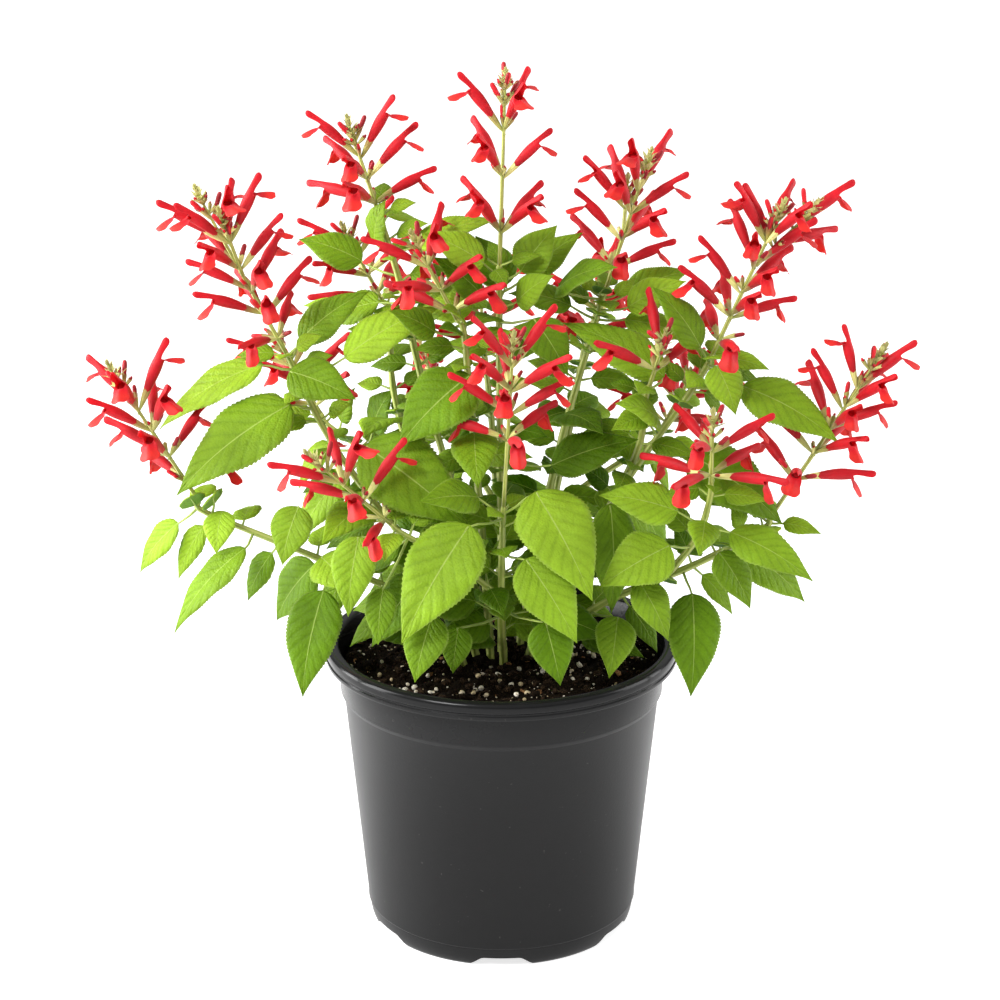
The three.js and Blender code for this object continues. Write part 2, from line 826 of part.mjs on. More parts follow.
// The pot: a lathe round its wall, with the rim turned down over the collar
function potPiece() {
  const lipTop = potHeight - 2;
  const skirt = potHeight - rimDrop;
  const profile = [
    [0, 0], [footRadius, 0], [footRadius + 0.8, 1.4], [footLineRadius, footLine],
    [shoulderRadius, collarBottom - 1], [shoulderRadius + 1.8, collarBottom + 1],
    [collarRadius, lipTop], [rimRadius - wall, lipTop], [rimRadius - wall, skirt],
    [rimRadius, skirt], [rimRadius, potHeight - 1],
    [rimRadius - 1, potHeight], [collarRadius + 0.2, potHeight], [collarRadius - 0.8, potHeight - 1],
    [shoulderRadius + 0.1, collarBottom + 1], [shoulderRadius - wall, collarBottom - 1],
    [footLineRadius - wall, footLine], [footRadius - wall, floorThickness + 1],
    [footRadius - wall - 1, floorThickness], [0, floorThickness],
  ];
  const lathe = new THREE.LatheGeometry(profile.map(([r, z]) => new THREE.Vector2(r, z)), turns);
  lathe.rotateX(Math.PI / 2);
  let pot = solid(lathe);
  for (let i = 0; i < notchCount; i += 1) {
    const cut = new THREE.Shape();
    cut.moveTo(-notch.bottom / 2 - 0.4, -1);
    cut.lineTo(notch.bottom / 2 + 0.4, -1);
    cut.lineTo(notch.top / 2, notch.height);
    cut.lineTo(-notch.top / 2, notch.height);
    const wedge = new THREE.ExtrudeGeometry(cut, { depth: notch.depth + 10, bevelEnabled: false });
    wedge.rotateX(Math.PI / 2);
    wedge.translate(0, notch.depth - footRadius, 0);
    wedge.rotateZ((i * 2 * Math.PI) / notchCount);
    pot = pot.subtract(solid(wedge));
  }
  return pot;
}

// The soil fills the pot a hair clear of its wall, lumpy on top and set with perlite grains
function soilPiece() {
  const inside = wall + gap;
  const profile = [
    [0, floorThickness + gap], [footRadius - inside - 2, floorThickness + gap],
    [footLineRadius - inside, footLine], [shoulderRadius - inside, collarBottom - 1],
    [shoulderRadius - gap, collarBottom + 2.2], [shoulderRadius + 1, soilTop - 1],
  ];
  const flat = profile.length - 1;
  for (let i = soilRings - 1; i >= 0; i -= 1) {
    profile.push([((shoulderRadius - 1) * i) / soilRings, soilTop]);
  }
  const lathe = new THREE.LatheGeometry(profile.map(([r, z]) => new THREE.Vector2(r, z)), turns);
  lathe.rotateX(Math.PI / 2);
  const position = lathe.attributes.position;
  for (let i = 0; i < position.count; i += 1) {
    const x = position.getX(i);
    const y = position.getY(i);
    const z = position.getZ(i);
    if (z > soilTop - 0.5) {
      const lump = 1.3 * Math.sin(x * 0.31 + 1) * Math.cos(y * 0.27);
      const ripple = 0.9 * Math.sin(x * 0.13 - y * 0.41);
      position.setZ(i, z + lump + ripple + 2 - soilFall * (x * x + y * y));
    }
  }
  let soil = solid(lathe);
  for (const stem of stems) {
    const [x, y] = stem.paths[0][0];
    const hole = new THREE.BoxGeometry(stemWidth.foot + 2 * gap, stemWidth.foot + 2 * gap, holeDepth * 2);
    hole.translate(x, y, soilTop);
    soil = soil.subtract(solid(hole));
  }
  const goldenAngle = 2.39996;
  for (let i = 0; i < grainCount; i += 1) {
    const angle = i * goldenAngle;
    const radius = 28 + 52 * Math.sqrt((i + 0.5) / grainCount);
    const height = soilTop + 1.2 - soilFall * radius * radius;
    const grain = new THREE.OctahedronGeometry(1.7 + 0.8 * draw());
    grain.rotateX(draw() * 3);
    grain.rotateZ(draw() * 3);
    grain.translate(radius * Math.cos(angle), radius * Math.sin(angle), height);
    soil = soil.add(solid(grain));
  }
  return soil;
}

// Each leafy stem: its square foot in the soil, stem, side shoots and leaves as one grown piece
function stemBody(stem) {
  const pieces = [];
  const [x, y, z] = stem.paths[0][0];
  const foot = new THREE.BoxGeometry(stemWidth.foot, stemWidth.foot, holeDepth - 1 + z - soilTop + 3);
  foot.translate(x, y, (soilTop - holeDepth + 1 + z + 3) / 2);
  pieces.push(solid(foot));
  stem.paths.forEach((path, i) => {
    const width = i === 0 ? stemWidth.foot * 0.97 : stemWidth.foot * 0.75;
    pieces.push(stemPiece(path, width, stemWidth.top, 2 * (path.length - 1)));
  });
  for (const leaf of stem.grown) pieces.push(leafPiece(leaf));
  return fuse(pieces);
}

function sprayBody(spray) {
  const pieces = [];
  spray.heads.forEach((head, i) => {
    const up = unit(sub(head.tip, head.foot));
    const start = i === 0 ? add(head.foot, times(up, gap)) : head.foot;
    pieces.push(stemPiece([start, head.tip], stemWidth.top, 1.6, 1));
    pieces.push(...headTip(head));
  });
  for (const piece of spray.grown) {
    if (piece.length === budLength) pieces.push(budPiece(piece));
    else pieces.push(flowerPiece(piece));
  }
  return fuse(pieces);
}

const paint = {
  pot: new THREE.MeshStandardMaterial({ color: 0x242527, roughness: 0.5, metalness: 0 }),
  soil: new THREE.MeshStandardMaterial({ color: 0x2b211a, roughness: 0.95, metalness: 0 }),
  leaf: new THREE.MeshStandardMaterial({ color: 0x5f9a2c, roughness: 0.6, metalness: 0 }),
  bloom: new THREE.MeshStandardMaterial({ color: 0xd3161f, roughness: 0.6, metalness: 0 }),
};

const group = new THREE.Group();
function place(name, body, material) {
  const mesh = new THREE.Mesh(geometryOf(body), material);
  mesh.name = name;
  group.add(mesh);
}

place("pot", potPiece(), paint.pot);
place("potting_soil", soilPiece(), paint.soil);
for (const stem of stems) place(stem.name, stemBody(stem), paint.leaf);
for (const spray of sprays) place(spray.name, sprayBody(spray), paint.bloom);

export default group;
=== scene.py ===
# %% [markdown]
# # A pineapple sage in its nursery pot
# Pineapple sage is a soft, bushy herb. Square green stems rise from one crown, carry opposite pairs of
# toothed, quilted leaves, and end in upright heads of narrow red flowers with two lips. This one stands
# in a black moulded pot, in dark peat with perlite. The lesson grows the plant by a rule, makes each
# organ once with mesh operators, and stamps it wherever the rule has placed one.

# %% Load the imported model, which is the fixed frame
import math

import bmesh
import bpy
from mathutils import Matrix, Vector, noise


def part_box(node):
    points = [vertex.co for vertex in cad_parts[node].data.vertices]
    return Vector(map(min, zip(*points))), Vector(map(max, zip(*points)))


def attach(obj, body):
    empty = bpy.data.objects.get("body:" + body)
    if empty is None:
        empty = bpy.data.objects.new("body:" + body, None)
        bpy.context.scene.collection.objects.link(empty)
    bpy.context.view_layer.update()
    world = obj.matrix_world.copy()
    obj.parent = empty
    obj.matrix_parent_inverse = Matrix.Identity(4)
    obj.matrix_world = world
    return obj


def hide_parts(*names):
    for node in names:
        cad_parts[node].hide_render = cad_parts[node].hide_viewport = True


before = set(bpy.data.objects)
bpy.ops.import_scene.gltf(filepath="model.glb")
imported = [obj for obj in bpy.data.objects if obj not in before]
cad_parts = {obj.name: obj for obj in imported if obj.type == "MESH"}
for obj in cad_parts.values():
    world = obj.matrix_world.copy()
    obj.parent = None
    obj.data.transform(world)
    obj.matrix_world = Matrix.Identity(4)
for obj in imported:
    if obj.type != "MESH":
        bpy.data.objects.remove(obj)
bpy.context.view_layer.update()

# %% [markdown]
# ## The size of things
# The plant's own table is in millimetres, because a gardener thinks of leaves and flowers that way. Every
# mesh is made in metres, so one factor stands between the two. The pot's height and its rim are read from
# the frame and rounded to whole millimetres. The solid pot has flat facets, so its box is a little narrower
# than its rim, and the rim drawn here comes out 1 mm less in radius than the solid's.

# %% Measures of the pot and of the plant's organs, in millimetres
MM = 0.001
pot_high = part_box("pot")[1]
pot_height = round(pot_high.z / MM)
rim_radius = round(pot_high.x / MM)
stem_width = {"foot": 4.8, "top": 2.6}
rachis_width = {"foot": 2.4, "top": 1.4}
petiole_width = 1.7
leaf_fold = 0.14
leaf_arch = 0.13
leaf_light = (0, -0.8, 1)
flower_length = 40
bud_length = 17
vary = {"clock": 9, "length": 0.07, "height": 1.5, "rise": 5}
knee = 8
keep_apart = {"leaf": 5.8, "stalk": 3.6, "flower": 5.4}
print("pot", pot_height, "mm tall, rim", 2 * rim_radius, "mm across")

# %% [markdown]
# ## Where everything grows
# A plant could be scattered at random, but this one has to match its photograph, so its stems, its heads
# and its large leaves are written down one by one: the crown's stems as points that they bend through, and
# each large leaf as the base and tip of its blade, its width and its roll.

# %% The stems, their side shoots and their large leaves
crown = [
    ("centre", [[[0, 2, 152], [0, 4, 200], [-1, 7, 280], [-1, 8, 361]]], [
        [-9, 0, 364, -39, -6, 382, 22, 0], [2, 25, 346, -13, 34, 371, 24, 0],
        [-11, 5, 347, -36, -2, 365, 20, 0], [10, 12, 357, 28, 14, 381, 23, 0],
        [8, 3, 343, 27, -4, 360, 20, 0], [16, -12, 338, 34, -30, 314, 24, 0],
        [14, 24, 352, 40, 34, 374, 20, 0], [26, -14, 260, 70, -16, 276, 25, 0],
    ]),
    ("mid_left", [[[-6, -8, 152], [-10, -10, 220], [-16, -8, 290], [-23, -5, 336]]], [
        [-34, -16, 332, -56, -24, 346, 18, 0], [-16, -22, 311, -53, -42, 280, 38, 0],
    ]),
    ("left", [[[-14, -3, 152], [-33, -5, 194], [-63, -10, 234], [-89, -10, 273], [-111, -5, 318]]], [
        [-108, -20, 295, -168, -36, 253, 40, 0], [-123, -5, 312, -180, 0, 278, 28, 12],
        [-105, 15, 319, -70, 22, 345, 26, 0], [-81, 0, 314, -32, 8, 341, 28, 0],
        [-108, -22, 313, -74, -38, 304, 26, 0], [-70, -30, 276, -25, -61, 234, 42, 0],
    ]),
    ("left_low", [[[-21, -14, 152], [-44, -20, 186], [-95, -28, 214], [-157, -20, 243]]], [
        [-144, -28, 240, -147, -40, 221, 18, 0], [-132, -35, 222, -171, -46, 181, 26, 20],
        [-104, -36, 245, -113, -46, 217, 24, 0], [-98, -12, 205, -121, -5, 171, 30, 0],
        [-92, -38, 200, -104, -56, 148, 31, 0],
    ]),
    ("top_left", [[[-8, 14, 152], [-22, 20, 220], [-43, 28, 298], [-52, 34, 340], [-65, 39, 384]]], [
        [-74, 50, 353, -107, 54, 365, 24, 0], [-66, 36, 366, -57, 30, 391, 22, 0],
        [-46, 28, 366, -3, 20, 384, 21, 0],
    ]),
    ("right_top", [[[10, 12, 152], [22, 16, 220], [33, 20, 269], [46, 25, 315], [54, 30, 341]]], [
        [29, 18, 346, 57, 12, 378, 27, 0], [66, 38, 338, 100, 46, 350, 20, 0],
        [66, 22, 335, 95, 18, 351, 22, 0],
    ]),
    ("right", [
     [[15, -3, 152], [41, -5, 205], [62, 0, 242], [93, 0, 288], [109, 0, 316]],
     [[62, 0, 242], [72, -10, 272], [76, -16, 304]]], [
        [84, -4, 305, 30, -14, 331, 29, 0], [81, -15, 285, 55, -32, 312, 21, 0],
        [102, -8, 322, 78, -10, 354, 22, 0], [124, -8, 301, 176, -17, 278, 31, 0],
        [110, -15, 314, 120, -27, 292, 22, 0], [97, -18, 267, 131, -42, 224, 38, 0],
        [56, -28, 244, 58, -36, 186, 26, 0],
    ]),
    ("right_low", [
     [[22, -13, 152], [50, -20, 184], [100, -22, 208], [140, -15, 232]],
     [[86, -22, 202], [101, -34, 228], [106, -48, 262]]], [
        [86, -45, 227, 50, -63, 212, 31, 0], [70, -48, 209, 86, -60, 181, 21, 0],
        [99, -32, 196, 99, -51, 146, 30, 0], [112, -36, 220, 129, -45, 193, 22, 0],
        [124, -22, 217, 160, -27, 188, 27, 0], [60, -40, 186, 56, -62, 160, 22, 0],
    ]),
    ("front", [
     [[1, -14, 152], [0, -32, 180], [0, -42, 214], [1, -45, 248]],
     [[0, -36, 195], [-24, -50, 220], [-56, -55, 242]]], [
        [-16, -65, 245, -51, -91, 192, 40, 0], [-35, -72, 199, -44, -89, 170, 24, 0],
        [-22, -60, 188, -25, -68, 166, 17, 0], [-12, -48, 254, -44, -66, 256, 22, 0],
        [17, -48, 257, 46, -82, 212, 40, 0], [12, -68, 228, 35, -90, 190, 31, 0],
        [22, -70, 195, 30, -84, 166, 24, 0], [-72, -62, 238, -78, -76, 200, 24, 0],
        [-60, -65, 211, -63, -74, 184, 17, 0],
    ]),
    ("back_left", [
     [[-18, 12, 152], [-40, 40, 215], [-58, 62, 275], [-64, 70, 326]],
     [[-42, 44, 222], [-72, 72, 238], [-100, 92, 256]]], []),
    ("back", [
     [[0, 24, 152], [-2, 50, 205], [-5, 80, 250], [-9, 102, 286]],
     [[-2, 56, 214], [-18, 92, 230], [-32, 118, 252]]], []),
    ("back_right", [
     [[20, 14, 152], [26, 36, 210], [37, 58, 258], [46, 76, 300]],
     [[27, 40, 218], [58, 64, 232], [88, 82, 250]]], []),
]
stems = [{"name": "stem_" + name, "paths": paths, "leaves": leaves} for name, paths, leaves in crown]
print("stems:", len(stems), "large leaves:", sum(len(stem["leaves"]) for stem in stems))

# %% [markdown]
# A head is a straight stalk with whorls of flowers. It is written as its foot, its tip, its whorls and
# its buds. Each whorl says how high above the foot it sits, how many flowers it has, the clock angle of
# the first (0 right, 90 front, 180 left) and how steeply they rise.

# %% The flowering heads
flowering = [
    ("centre_top", [
        [[-1, 8, 361], [2, 8, 461],
         [[17, 4, 52, 42], [46, 3, 5, 44], [70, 3, 60, 54]], [[82, 2, 30, 60], [90, 2, 100, 70]]]]),
    ("top_left", [
        [[-65, 39, 384], [-80, 40, 431],
         [[3, 3, 150, 20], [15, 3, 10, 36], [27, 2, 0, 50]], [[36, 2, 20, 60]]]]),
    ("left", [
        [[-111, -5, 318], [-155, -5, 404],
         [[8, 2, 60, 15], [22, 4, 20, 31], [36, 3, 60, 38], [50, 3, 10, 45], [64, 3, 70, 52]],
         [[78, 2, 20, 60]]],
        [[-132, -5, 359], [-142, -20, 396], [[20, 2, 20, 52]], [[28, 2, 60, 60]]]]),
    ("far_left", [
        [[-157, -20, 243], [-201, -20, 316],
         [[12, 2, 130, 27], [28, 3, 30, 38], [43, 3, 80, 45], [57, 3, 20, 54]], [[70, 2, 60, 60]]]]),
    ("low_left", [
        [[-56, -55, 242], [-98, -60, 281],
         [[5, 2, 80, 12], [19, 3, 30, 29], [32, 3, 80, 43]], [[44, 2, 20, 55]]]]),
    ("mid_left", [
        [[-23, -5, 336], [-46, -10, 382],
         [[4, 2, 150, 18], [18, 3, 110, 29], [32, 3, 60, 45]], [[42, 2, 10, 60]]]]),
    ("centre_front", [
        [[1, -45, 248], [6, -50, 340],
         [[36, 3, 45, 20], [50, 4, 0, 35], [63, 3, 100, 43], [74, 2, 20, 54]], [[82, 2, 40, 60]]]]),
    ("right_top", [
        [[54, 30, 341], [77, 25, 417],
         [[14, 3, 20, 27], [30, 3, 60, 36], [45, 3, 0, 45], [57, 2, 60, 54]], [[67, 2, 20, 60]]],
        [[63, 28, 370], [66, 46, 399], [[16, 1, 200, 50]], [[22, 2, 100, 60]]]]),
    ("right", [
        [[109, 0, 316], [144, 0, 396],
         [[8, 2, 100, 15], [22, 4, 10, 31], [36, 3, 55, 38], [50, 3, 20, 45], [64, 3, 70, 54]],
         [[74, 2, 20, 60]]],
        [[130, 0, 363], [164, 14, 393], [[14, 2, 20, 31], [27, 1, 0, 50]], [[36, 2, 10, 60]]]]),
    ("far_right", [
        [[140, -15, 232], [197, -11, 323],
         [[24, 3, 10, 24], [40, 3, 55, 34], [55, 3, 10, 43], [69, 3, 60, 50], [81, 2, 0, 59]],
         [[94, 2, 60, 60]]]]),
    ("low_right", [
        [[106, -48, 262], [106, -54, 301], [[4, 4, 60, 8], [17, 3, 15, 27]], [[29, 2, 60, 45]]]]),
    ("mid_right", [
        [[76, -16, 304], [84, -22, 334], [[8, 2, 30, 29], [18, 1, 110, 46]], [[24, 2, 40, 60]]]]),
    ("back_left", [
        [[-64, 70, 326], [-86, 77, 366],
         [[4, 3, 190, 18], [16, 3, 230, 31], [28, 2, 180, 45]], [[36, 2, 20, 60]]]]),
    ("back_far_left", [
        [[-100, 92, 256], [-127, 110, 294],
         [[6, 3, 200, 22], [19, 3, 240, 34], [31, 2, 200, 45]], [[40, 2, 250, 60]]]]),
    ("back", [
        [[-9, 102, 286], [-13, 126, 330],
         [[6, 3, 215, 20], [19, 3, 260, 31], [31, 2, 210, 45]], [[40, 2, 250, 60]]]]),
    ("back_low", [
        [[-32, 118, 252], [-47, 140, 284], [[6, 3, 230, 20], [18, 2, 280, 34]], [[28, 2, 250, 55]]]]),
    ("back_right", [
        [[46, 76, 300], [60, 96, 344],
         [[6, 3, 250, 20], [19, 3, 290, 31], [31, 2, 250, 45]], [[40, 2, 250, 60]]]]),
    ("back_far_right", [
        [[88, 82, 250], [112, 100, 288],
         [[6, 3, 300, 20], [18, 3, 250, 31], [30, 2, 290, 45]], [[38, 2, 250, 60]]]]),
]
head_parts = ("foot", "tip", "whorls", "buds")
sprays = [{"name": "spray_" + name, "heads": [dict(zip(head_parts, head)) for head in heads]}
          for name, heads in flowering]
print("heads:", sum(len(spray["heads"]) for spray in sprays))

# %% [markdown]
# ## The rule of growth
# Leaves and flowers of a real plant don't pass through each other: they turn aside as they grow. The rule
# does the same. Whatever is placed leaves points behind in a grid of small cells, and the next leaf or
# flower tries its own pose first and then bends until it is clear of them, or is left out if no bend
# helps. All draws come from one seed.
# Plain tuples of three numbers are used here, because they keep every digit.

# %% Vectors as plain tuples
def add(a, b):
    return (a[0] + b[0], a[1] + b[1], a[2] + b[2])


def sub(a, b):
    return (a[0] - b[0], a[1] - b[1], a[2] - b[2])


def times(a, k):
    return (a[0] * k, a[1] * k, a[2] * k)


def dot(a, b):
    return a[0] * b[0] + a[1] * b[1] + a[2] * b[2]


def size(a):
    return math.sqrt(dot(a, a))


def unit(a):
    return times(a, 1 / size(a))


def cross(a, b):
    return (a[1] * b[2] - a[2] * b[1], a[2] * b[0] - a[0] * b[2], a[0] * b[1] - a[1] * b[0])


def mix(a, b, k):
    return add(times(a, 1 - k), times(b, k))


def turned(a, axis, degrees):
    c = math.cos(math.radians(degrees))
    s = math.sin(math.radians(degrees))
    return add(add(times(a, c), times(cross(axis, a), s)), times(axis, dot(axis, a) * (1 - c)))


print("a quarter turn of X about Z is", [round(v, 6) for v in turned((1, 0, 0), (0, 0, 1), 90)])

# %% Smooth curves through a few points
def along(points, t):
    last = len(points) - 1
    i = min(math.floor(t * last), last - 1)
    k = t * last - i
    b, c = points[i], points[i + 1]
    a = points[i - 1] if i > 0 else sub(times(b, 2), c)
    d = points[i + 2] if i + 2 <= last else sub(times(c, 2), b)
    place = []
    for n in range(3):
        bend = 2 * a[n] - 5 * b[n] + 4 * c[n] - d[n]
        swing = 3 * b[n] - a[n] - 3 * c[n] + d[n]
        place.append(0.5 * (2 * b[n] + (c[n] - a[n]) * k + bend * k * k + swing * k * k * k))
    return tuple(place)


def heading(points, t):
    step = 0.01
    return unit(sub(along(points, min(1, t + step)), along(points, max(0, t - step))))


def reach_of(points):
    return sum(size(sub(b, a)) for a, b in zip(points, points[1:]))


def samples(points, spacing):
    count = math.ceil(reach_of(points) / spacing)
    return [along(points, i / count) for i in range(count + 1)]


print("the centre stem is", round(reach_of(stems[0]["paths"][0])), "mm long")

# %% The repeatable draw, between -1 and 1
seed = 4815


def draw():
    global seed
    seed = (seed * 16807) % 2147483647
    return (2 * seed) / 2147483647 - 1


# %% The growing room
cell = 8
over_rim = 3
past_rim = 5
room = {}


def occupy(points, owner):
    for p in points:
        room.setdefault(tuple(math.floor(v / cell) for v in p), []).append((p, owner))


def is_clear(points, distance, ignore):
    for p in points:
        if p[2] < pot_height + over_rim and math.hypot(p[0], p[1]) < rim_radius + past_rim:
            return False
        x, y, z = (math.floor(v / cell) for v in p)
        for i in (x - 1, x, x + 1):
            for j in (y - 1, y, y + 1):
                for k in (z - 1, z, z + 1):
                    for q, owner in room.get((i, j, k), ()):
                        if owner != ignore and size(sub(p, q)) < distance:
                            return False
    return True


ways = [(1, 0), (-1, 0), (0, 1), (0, -1), (1, 1), (-1, 1), (1, -1), (-1, -1)]
swings = (10, 20, 30, 42)
lift_share = 0.7
bends = [(0, 0)] + [(swing * far, lift * far * lift_share) for far in swings for swing, lift in ways]


def bent(vector, swing, lift):
    upright = (0, 0, 1)
    swung = turned(vector, upright, swing)
    if math.hypot(vector[0], vector[1]) < 0.001:
        return swung
    return turned(swung, unit(cross(swung, upright)), lift)


print("each piece may try", len(bends), "poses")

# %% [markdown]
# A blade curves from base to tip over one arch, and folds up a little along its midrib. Its outline is
# one formula: a fast swell at the base and a long taper to the tip.

# %% Leaves grow
def outline(s):
    return 3.2 * math.pow(s, 0.6) * math.pow(1 - s, 1.25)


def shape_leaf(base, tip, width, roll, root):
    run = sub(tip, base)
    axis = unit(run)
    middle = mix(base, tip, 0.5)
    outward = unit((middle[0], middle[1], 0.001))
    facing = add(leaf_light, times(outward, 0.3))
    flat = unit(sub(facing, times(axis, dot(facing, axis))))
    normal = turned(flat, axis, roll)
    crest = add(middle, times(normal, size(run) * leaf_arch))
    return {
        "base": base, "tip": tip, "width": width, "root": root,
        "normal": normal, "side": cross(axis, normal), "crest": crest, "length": size(run),
    }


def on_leaf(leaf, s, across, height):
    early = mix(leaf["base"], leaf["crest"], s)
    late = mix(leaf["crest"], leaf["tip"], s)
    lift = height + abs(across) * leaf_fold
    return add(mix(early, late, s), add(times(leaf["side"], across), times(leaf["normal"], lift)))


def leaf_room(leaf):
    rows = [i / 8.5 for i in range(1, 9)]
    return [on_leaf(leaf, s, (k * leaf["width"] * outline(s)) / 2, 0)
            for s in rows for k in (-0.9, -0.45, 0, 0.45, 0.9)]


def stalk_room(leaf):
    stalk = size(sub(leaf["base"], leaf["root"]))
    points = []
    d = 5
    while d < stalk:
        points.append(mix(leaf["root"], leaf["base"], d / stalk))
        d += 3
    return points


def grow_leaf(stem, base, tip, width, roll, root, apart=keep_apart):
    for swing, lift in bends:
        leaf = shape_leaf(base, add(base, bent(sub(tip, base), swing, lift)), width, roll, root)
        blade = leaf_room(leaf)
        stalk = stalk_room(leaf)
        if is_clear(blade, apart["leaf"], stem["name"]) and is_clear(stalk, apart["stalk"], stem["name"]):
            occupy(blade + stalk, stem["name"] + " leaf")
            stem["grown"].append(leaf)
            return


def root_of(stem, base):
    """The nearest point of the stem that a blade can hang on: rather below it, and not at the tip."""
    best, least = None, math.inf
    for path in stem["paths"]:
        for p in samples(path, 3):
            at_end = size(sub(p, path[-1])) < 4
            far = size(sub(p, base)) + (12 if p[2] > base[2] - 3 else 0) + (100 if at_end else 0)
            if far < least:
                best, least = p, far
    return best


print("a blade is widest", round(max(range(100), key=lambda i: outline(i / 100)) / 100, 2), "of the way up")

# %% Flowers grow
def reach(head, height, clock, rise, length):
    stalk = unit(sub(head["tip"], head["foot"]))
    up = unit(add(stalk, (0, 0, 1)))
    right = unit(cross((0, 1, 0), up))
    front = cross(right, up)
    turn = math.radians(clock)
    out = add(times(right, math.cos(turn)), times(front, -math.sin(turn)))
    aim = add(times(out, math.cos(math.radians(rise))), times(up, math.sin(math.radians(rise))))
    return {"start": add(head["foot"], times(stalk, height)), "up": up, "aim": aim, "length": length}


nod_share = 0.06


def flower_path(piece):
    start, aim, length = piece["start"], piece["aim"], piece["length"]
    nod = length * nod_share
    return [start, add(start, times(aim, length * 0.5)), add(add(start, times(aim, length)), (0, 0, -nod))]


def grow_flower(spray, head, height, clock, rise, length):
    for swing, lift in bends:
        piece = reach(head, height, clock + swing, rise + lift, length)
        points = samples(flower_path(piece), 3.5)[3:]
        lip = add(points[-2], times(piece["up"], -7))
        if length == bud_length:
            points += samples(flower_path(piece), 3)[2:]
        else:
            points.append(lip)
        if is_clear(points, keep_apart["flower"], spray["name"]):
            occupy(points, spray["name"] + " flower")
            spray["grown"].append(piece)
            return


print("a flower nods by", round(flower_length * nod_share, 1), "mm at its end")

# %% [markdown]
# The stems come first, then the large leaves, then the flowers, and last the pairs of leaves that fill
# the stems in between. A stem that carries a head gets one more point, so that it comes up in line with it.

# %% Grow the stems and the large leaves
rim_step = 3.6
angles = [math.radians(i * rim_step) for i in range(100)]
occupy([(rim_radius * math.cos(a), rim_radius * math.sin(a), pot_height - 3) for a in angles], "pot")
for stem in stems:
    stem["grown"] = []
    for path in stem["paths"]:
        end = path[-1]
        carried = [spray for spray in sprays if size(sub(spray["heads"][0]["foot"], end)) < 1]
        if carried:
            head = carried[0]["heads"][0]
            up = unit(sub(head["tip"], head["foot"]))
            path.insert(len(path) - 1, sub(end, times(up, knee)))
        occupy(samples(path, 4), stem["name"])
for spray in sprays:
    spray["grown"] = []
    for head in spray["heads"]:
        occupy(samples([head["foot"], head["tip"]], 4), spray["name"])
for stem in stems:
    for x, y, z, tip_x, tip_y, tip_z, width, roll in stem["leaves"]:
        grow_leaf(stem, (x, y, z), (tip_x, tip_y, tip_z), width, roll, root_of(stem, (x, y, z)))
    stem["large"] = len(stem["grown"])
print("large leaves grown:", sum(stem["large"] for stem in stems))

# %% Grow the flowers and the buds
for spray in sprays:
    for head in spray["heads"]:
        for height, count, first, rise in head["whorls"]:
            for i in range(count):
                clock = first + (360 * i) / count + vary["clock"] * draw()
                length = flower_length * (1 + vary["length"] * draw())
                start = height + vary["height"] * draw()
                grow_flower(spray, head, start, clock, rise + vary["rise"] * draw(), length)
        for height, count, first, rise in head["buds"]:
            for i in range(count):
                grow_flower(spray, head, height, first + (360 * i) / count, rise, bud_length)
print("flowers and buds:", sum(len(spray["grown"]) for spray in sprays))

# %% Grow the pairs of leaves that fill the stems
fill = {"start": 30, "end": 18, "step": 54, "low": 52, "top": 26, "stalk": 15, "rise": 14}


def leaf_pair(stem, path, t, blade, pair, kind, apart):
    root = along(path, t)
    up = heading(path, t)
    level = unit(cross(up, (0.2, 1, 0)))
    for half in (0, 180):
        out = turned(level, up, half + 90 * (pair % 2) + 15 * draw())
        aim = unit(add(out, times((0, 0, 1), math.sin(math.radians(kind["rise"] + 10 * draw())))))
        base = add(root, times(aim, kind["stalk"]))
        tip = add(add(base, times(aim, blade * (0.9 + 0.1 * draw()))), (0, 0, -blade * 0.25))
        grow_leaf(stem, base, tip, blade * 0.54, 0, root, apart)


def grow_pairs(stem, kind, first, blade_at, apart):
    for path in stem["paths"]:
        length = reach_of(path)
        pair, d = first, kind["start"]
        while d < length - kind["end"]:
            leaf_pair(stem, path, d / length, blade_at(d / length), pair, kind, apart)
            pair += 1
            d += kind["step"]


def filling_blade(t):
    return fill["low"] + (fill["top"] - fill["low"]) * t * t


for stem in stems:
    grow_pairs(stem, fill, 0, filling_blade, keep_apart)
print("leaves in all:", sum(len(stem["grown"]) for stem in stems))

# %% [markdown]
# A living sage also carries tufts of young leaves where its large leaves join the stem, and they make the
# middle of the bush dense. They are too many for the solid model, so they are grown here by the same
# rule, with smaller clearances, once everything that the solid model has is in its place.

# %% Grow the young leaves between the large ones
tuft = {"start": 8, "end": 4, "step": 13, "low": 34, "top": 19, "stalk": 7, "rise": 26}
tuft_apart = {"leaf": 4.2, "stalk": 2.0}
tuft_vary = 0.25


def young_blade(t):
    return (tuft["low"] + (tuft["top"] - tuft["low"]) * t) * (1 + tuft_vary * draw())


for stem in stems:
    stem["filled"] = len(stem["grown"])
    grow_pairs(stem, tuft, 1, young_blade, tuft_apart)
print("young leaves:", sum(len(stem["grown"]) - stem["filled"] for stem in stems))

# %% [markdown]
# ## Making and stamping
# Each organ is made once, as a small mesh, and then copied into the piece that it grows on. One that is
# used by the hundred has fewer than a hundred faces. A stamp takes the small mesh and a function that says
# where each of its points goes, so one flat grid can become every leaf. Points that meet, such as a tube's
# seam and its closed ends, are merged once for the whole piece.

# %% Stamp an organ and finish a piece
def to_mesh(name, bm):
    mesh = bpy.data.meshes.new(name)
    bm.to_mesh(mesh)
    bm.free()
    return mesh


def as_mesh(name, bm, material=0):
    for face in bm.faces:
        face.material_index = material
        face.smooth = True
    return to_mesh(name, bm)


def linked(name, data):
    made = bpy.data.objects.new(name, data)
    bpy.context.scene.collection.objects.link(made)
    return made


def open_organ():
    bm = bmesh.new()
    bm.loops.layers.uv.new("organ")
    return bm


